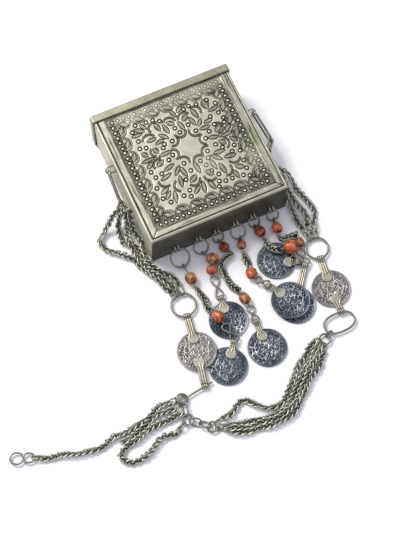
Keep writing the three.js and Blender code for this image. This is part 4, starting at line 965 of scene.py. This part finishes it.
def beside(points, distance, height):
    """Plan points moved to the left of the way they run, at one height."""
    plan = np.array(points, float)
    run = unit(np.vstack([plan[1:], plan[-1:]]) - np.vstack([plan[:1], plan[:-1]]))
    plan = plan + distance * np.stack([-run[:, 1], run[:, 0]], axis=-1)
    return [(x, y, height) for x, y in plan]


def on_ring(name, degrees):
    """The point of a lying ring's wire at an angle from +X."""
    (x, y), radius, _ = NECK_RINGS[name]
    turn = np.radians(degrees)
    return np.array([x + radius * np.cos(turn), y + radius * np.sin(turn), LIE_Z])


def on_bail(side, degrees):
    """The point of a bail's lower bend at an angle above or below its tip."""
    hinge, end = BAILS[side]["hinge"], BAILS[side]["end"]
    run = unit(end - hinge)
    rise = unit(UP - np.dot(UP, run) * run)
    turn = np.radians(degrees)
    return end + BAIL_HALF * ((np.cos(turn) - 1) * run + np.sin(turn) * rise)


def end_links(hold, strand_end):
    """Routes and flats of wide links from a strand's end to a point on a ring's or bail's wire, one or, where
    it is far, two that hold each other. An end without a height is level with the ring."""
    start = np.array((*strand_end, LIE_Z)[:3])
    count = 2 if np.linalg.norm(hold - start) > END_LINK_REACH else 1
    return link_row(start, hold, count, END_LINK_HALF, END_LINK_LAP)


def chain_piece(node, routes, links):
    """One or more strands and the wide links at their ends as one piece, named as its node is but with
    strand for chain, or by its own name."""
    shapes, marks = zip(*[woven_strand(route, **NECK_WEAVE) for route in routes])
    wires = [wire(route, EYE_WIRE, flat, closed=True) for route, flat in links]
    shape, marks = joined([*shapes, *wires]), np.concatenate(marks)
    marks = np.concatenate([marks, np.full(len(shape[0]) - len(marks), END_LINK_MARK)])
    name = CHAIN_NAMES.get(node, node.replace("chain", "strand"))
    make_piece(name, shape, marks, chain_silver, "chain_silver", [node])


def lower_links(route, degrees):
    """The links at both ends of a strand between the two lower rings."""
    return [*end_links(on_ring("ring_lower_right", degrees[0]), route[0][:2]),
            *end_links(on_ring("ring_lower_left", degrees[1]), route[-1][:2])]


left_strands = [(lead + beside(LEFT_RUN, place * SPACING, height), tilt, degrees)
                for lead, place, height, tilt, degrees in LEFT_STRANDS]
for side, strands in (("left", left_strands), ("right", RIGHT_STRANDS)):
    for number, (route, tilt, degrees) in enumerate(strands, 1):
        chain_piece(f"neck_chain_{side}_{number}", [route], [
            *end_links(on_bail(side, tilt), route[0]),
            *end_links(on_ring(f"neck_ring_{side}", degrees), route[-1][:2])])
bundle = {place: beside(LOWER_RUN, place * BUNDLE_SPACING, CHAIN_Z + BUNDLE_RISE * (place == 0))
          for place in BUNDLE_ENDS}
bundle_links = [link for place in bundle for link in lower_links(bundle[place], BUNDLE_ENDS[place])]
chain_piece("neck_chain_lower_bundle", bundle.values(), bundle_links)
chain_piece("neck_chain_lower_loose", [LOOSE_RUN], lower_links(LOOSE_RUN, LOOSE_ENDS))
for node, (degrees, route, far_hold) in SPARE_STRANDS.items():
    turn = np.radians(degrees)
    links = end_links(PIN["loop"] + PIN["radius"] * np.array([np.cos(turn), np.sin(turn), 0]), route[0])
    if far_hold:
        links += end_links(np.array(far_hold), route[-1])
    chain_piece(node, [route], links)

# Pin hook and end hook
# A wire pin bent into a loop that gathers the spare lengths and coils up inside it, and a double hook at the
# free end.
COIL = {"turn": (0, 7.6), "radius": (2.9, 1.4), "rise": (0.7, 1.5)}
END_HOOK = np.array([(-138.7, -115.8, LIE_Z), (-144, -113.7, LIE_Z), (-150.2, -111.4, LIE_Z)])
END_HOOK_HALF = (2.5, 3.0)

pin_reach = np.array([PIN["radius"], 0, 0])
pin_ring = stadium(PIN["loop"] - pin_reach, PIN["loop"] + pin_reach, PIN["radius"], UP, 36)
turn, radius, rise = (np.linspace(*ends, 48)[:, None] for ends in COIL.values())
pin_coil = PIN["loop"] + np.hstack([radius * np.cos(turn), radius * np.sin(turn), rise])
make_wire("pin_hook_wire", [
    wire(pin_ring, RING_WIRE, UP, closed=True), wire(pin_coil, RING_WIRE, UP),
    wire(np.linspace(PIN["loop"] + pin_reach, PIN["tip"], 6), RING_WIRE, UP)], ["pin_hook"])
hook_bends = [stadium(END_HOOK[i], END_HOOK[i + 1], half, UP) for i, half in enumerate(END_HOOK_HALF)]
make_wire("end_hook_wire", [wire(bend, RING_WIRE, UP, closed=True) for bend in hook_bends], ["end_hook"])

# Table, light and camera
# A white sheet of paper under soft daylight from the upper left, seen from above the near edge, as the
# object lies on its back.
PAPER_HALF = 2.5
FOCAL_PX, PICTURE_PX = 1400.0, 547.0
SENSOR_MM = 36.0
AZIMUTH, ELEVATION, ROLL = np.radians([-25.64, 68.31, 1.30])
TARGET = np.array([-16.82, -58.76, 0.0])
DISTANCE = 756.2
LAMP_PLACE = np.array([-450.0, 750.0, 1100.0])

# Uncoated paper with a fine tooth.
paper, paper_tree, paper_shader, paper_place = new_material("white_paper")
paper_tooth = add_node(paper_tree, "ShaderNodeTexNoise", {
    "Vector": (paper_place, "Object"), "Scale": 1 / (0.6 * MM), "Detail": 2.0})
paper_bump = add_node(paper_tree, "ShaderNodeBump", {
    "Height": (paper_tooth, "Fac"), "Strength": 0.1, "Distance": 0.05 * MM})
feed(paper_tree, paper_shader, {
    "Base Color": linear("#F7F7FA"), "Roughness": 0.9, "Normal": (paper_bump, "Normal")})
paper_mesh = bpy.data.meshes.new("paper")
paper_corners = [(x * PAPER_HALF, y * PAPER_HALF, 0) for x, y in ((-1, -1), (1, -1), (1, 1), (-1, 1))]
paper_mesh.from_pydata(paper_corners, [], [(0, 1, 2, 3)])
paper_mesh.materials.append(paper)
paper_sheet = put("paper", paper_mesh)

sky = bpy.data.worlds.new("soft_room")
sky.use_nodes = True
feed(sky.node_tree, sky.node_tree.nodes["Background"], {"Color": linear("#F2F4FF"), "Strength": 0.75})
bpy.context.scene.world = sky
bpy.context.scene.view_settings.view_transform = "Standard"


def stand(name, data, place, right, up, back):
    """A lamp or camera at a place in millimetres, its own axes along the three given."""
    thing = put(name, data)
    matrix = np.identity(4)
    matrix[:3] = np.stack([right, up, back, np.asarray(place) * MM], axis=-1)
    thing.matrix_world = Matrix(matrix.tolist())
    return thing


lamp = bpy.data.lights.new("window", "AREA")
lamp.size, lamp.energy, lamp.color = 0.55, 17.0, linear("#FFF8EE")[:3]
lamp_back = unit(LAMP_PLACE - TARGET)
lamp_right = unit(np.cross((0, 1, 0), lamp_back))
stand("window", lamp, LAMP_PLACE, lamp_right, np.cross(lamp_back, lamp_right), lamp_back)

toward = np.array([-np.sin(AZIMUTH) * np.cos(ELEVATION), np.cos(AZIMUTH) * np.cos(ELEVATION),
                   -np.sin(ELEVATION)])
level_right = np.array([np.cos(AZIMUTH), np.sin(AZIMUTH), 0])
level_up = np.cross(level_right, toward)
camera_right = level_right * np.cos(ROLL) + level_up * np.sin(ROLL)
camera_up = level_up * np.cos(ROLL) - level_right * np.sin(ROLL)
lens = bpy.data.cameras.new("camera")
lens.sensor_width = SENSOR_MM
lens.lens = FOCAL_PX / PICTURE_PX * SENSOR_MM
lens.clip_start = 0.01
bpy.context.scene.camera = stand("camera", lens, TARGET - DISTANCE * toward, camera_right, camera_up, -toward)
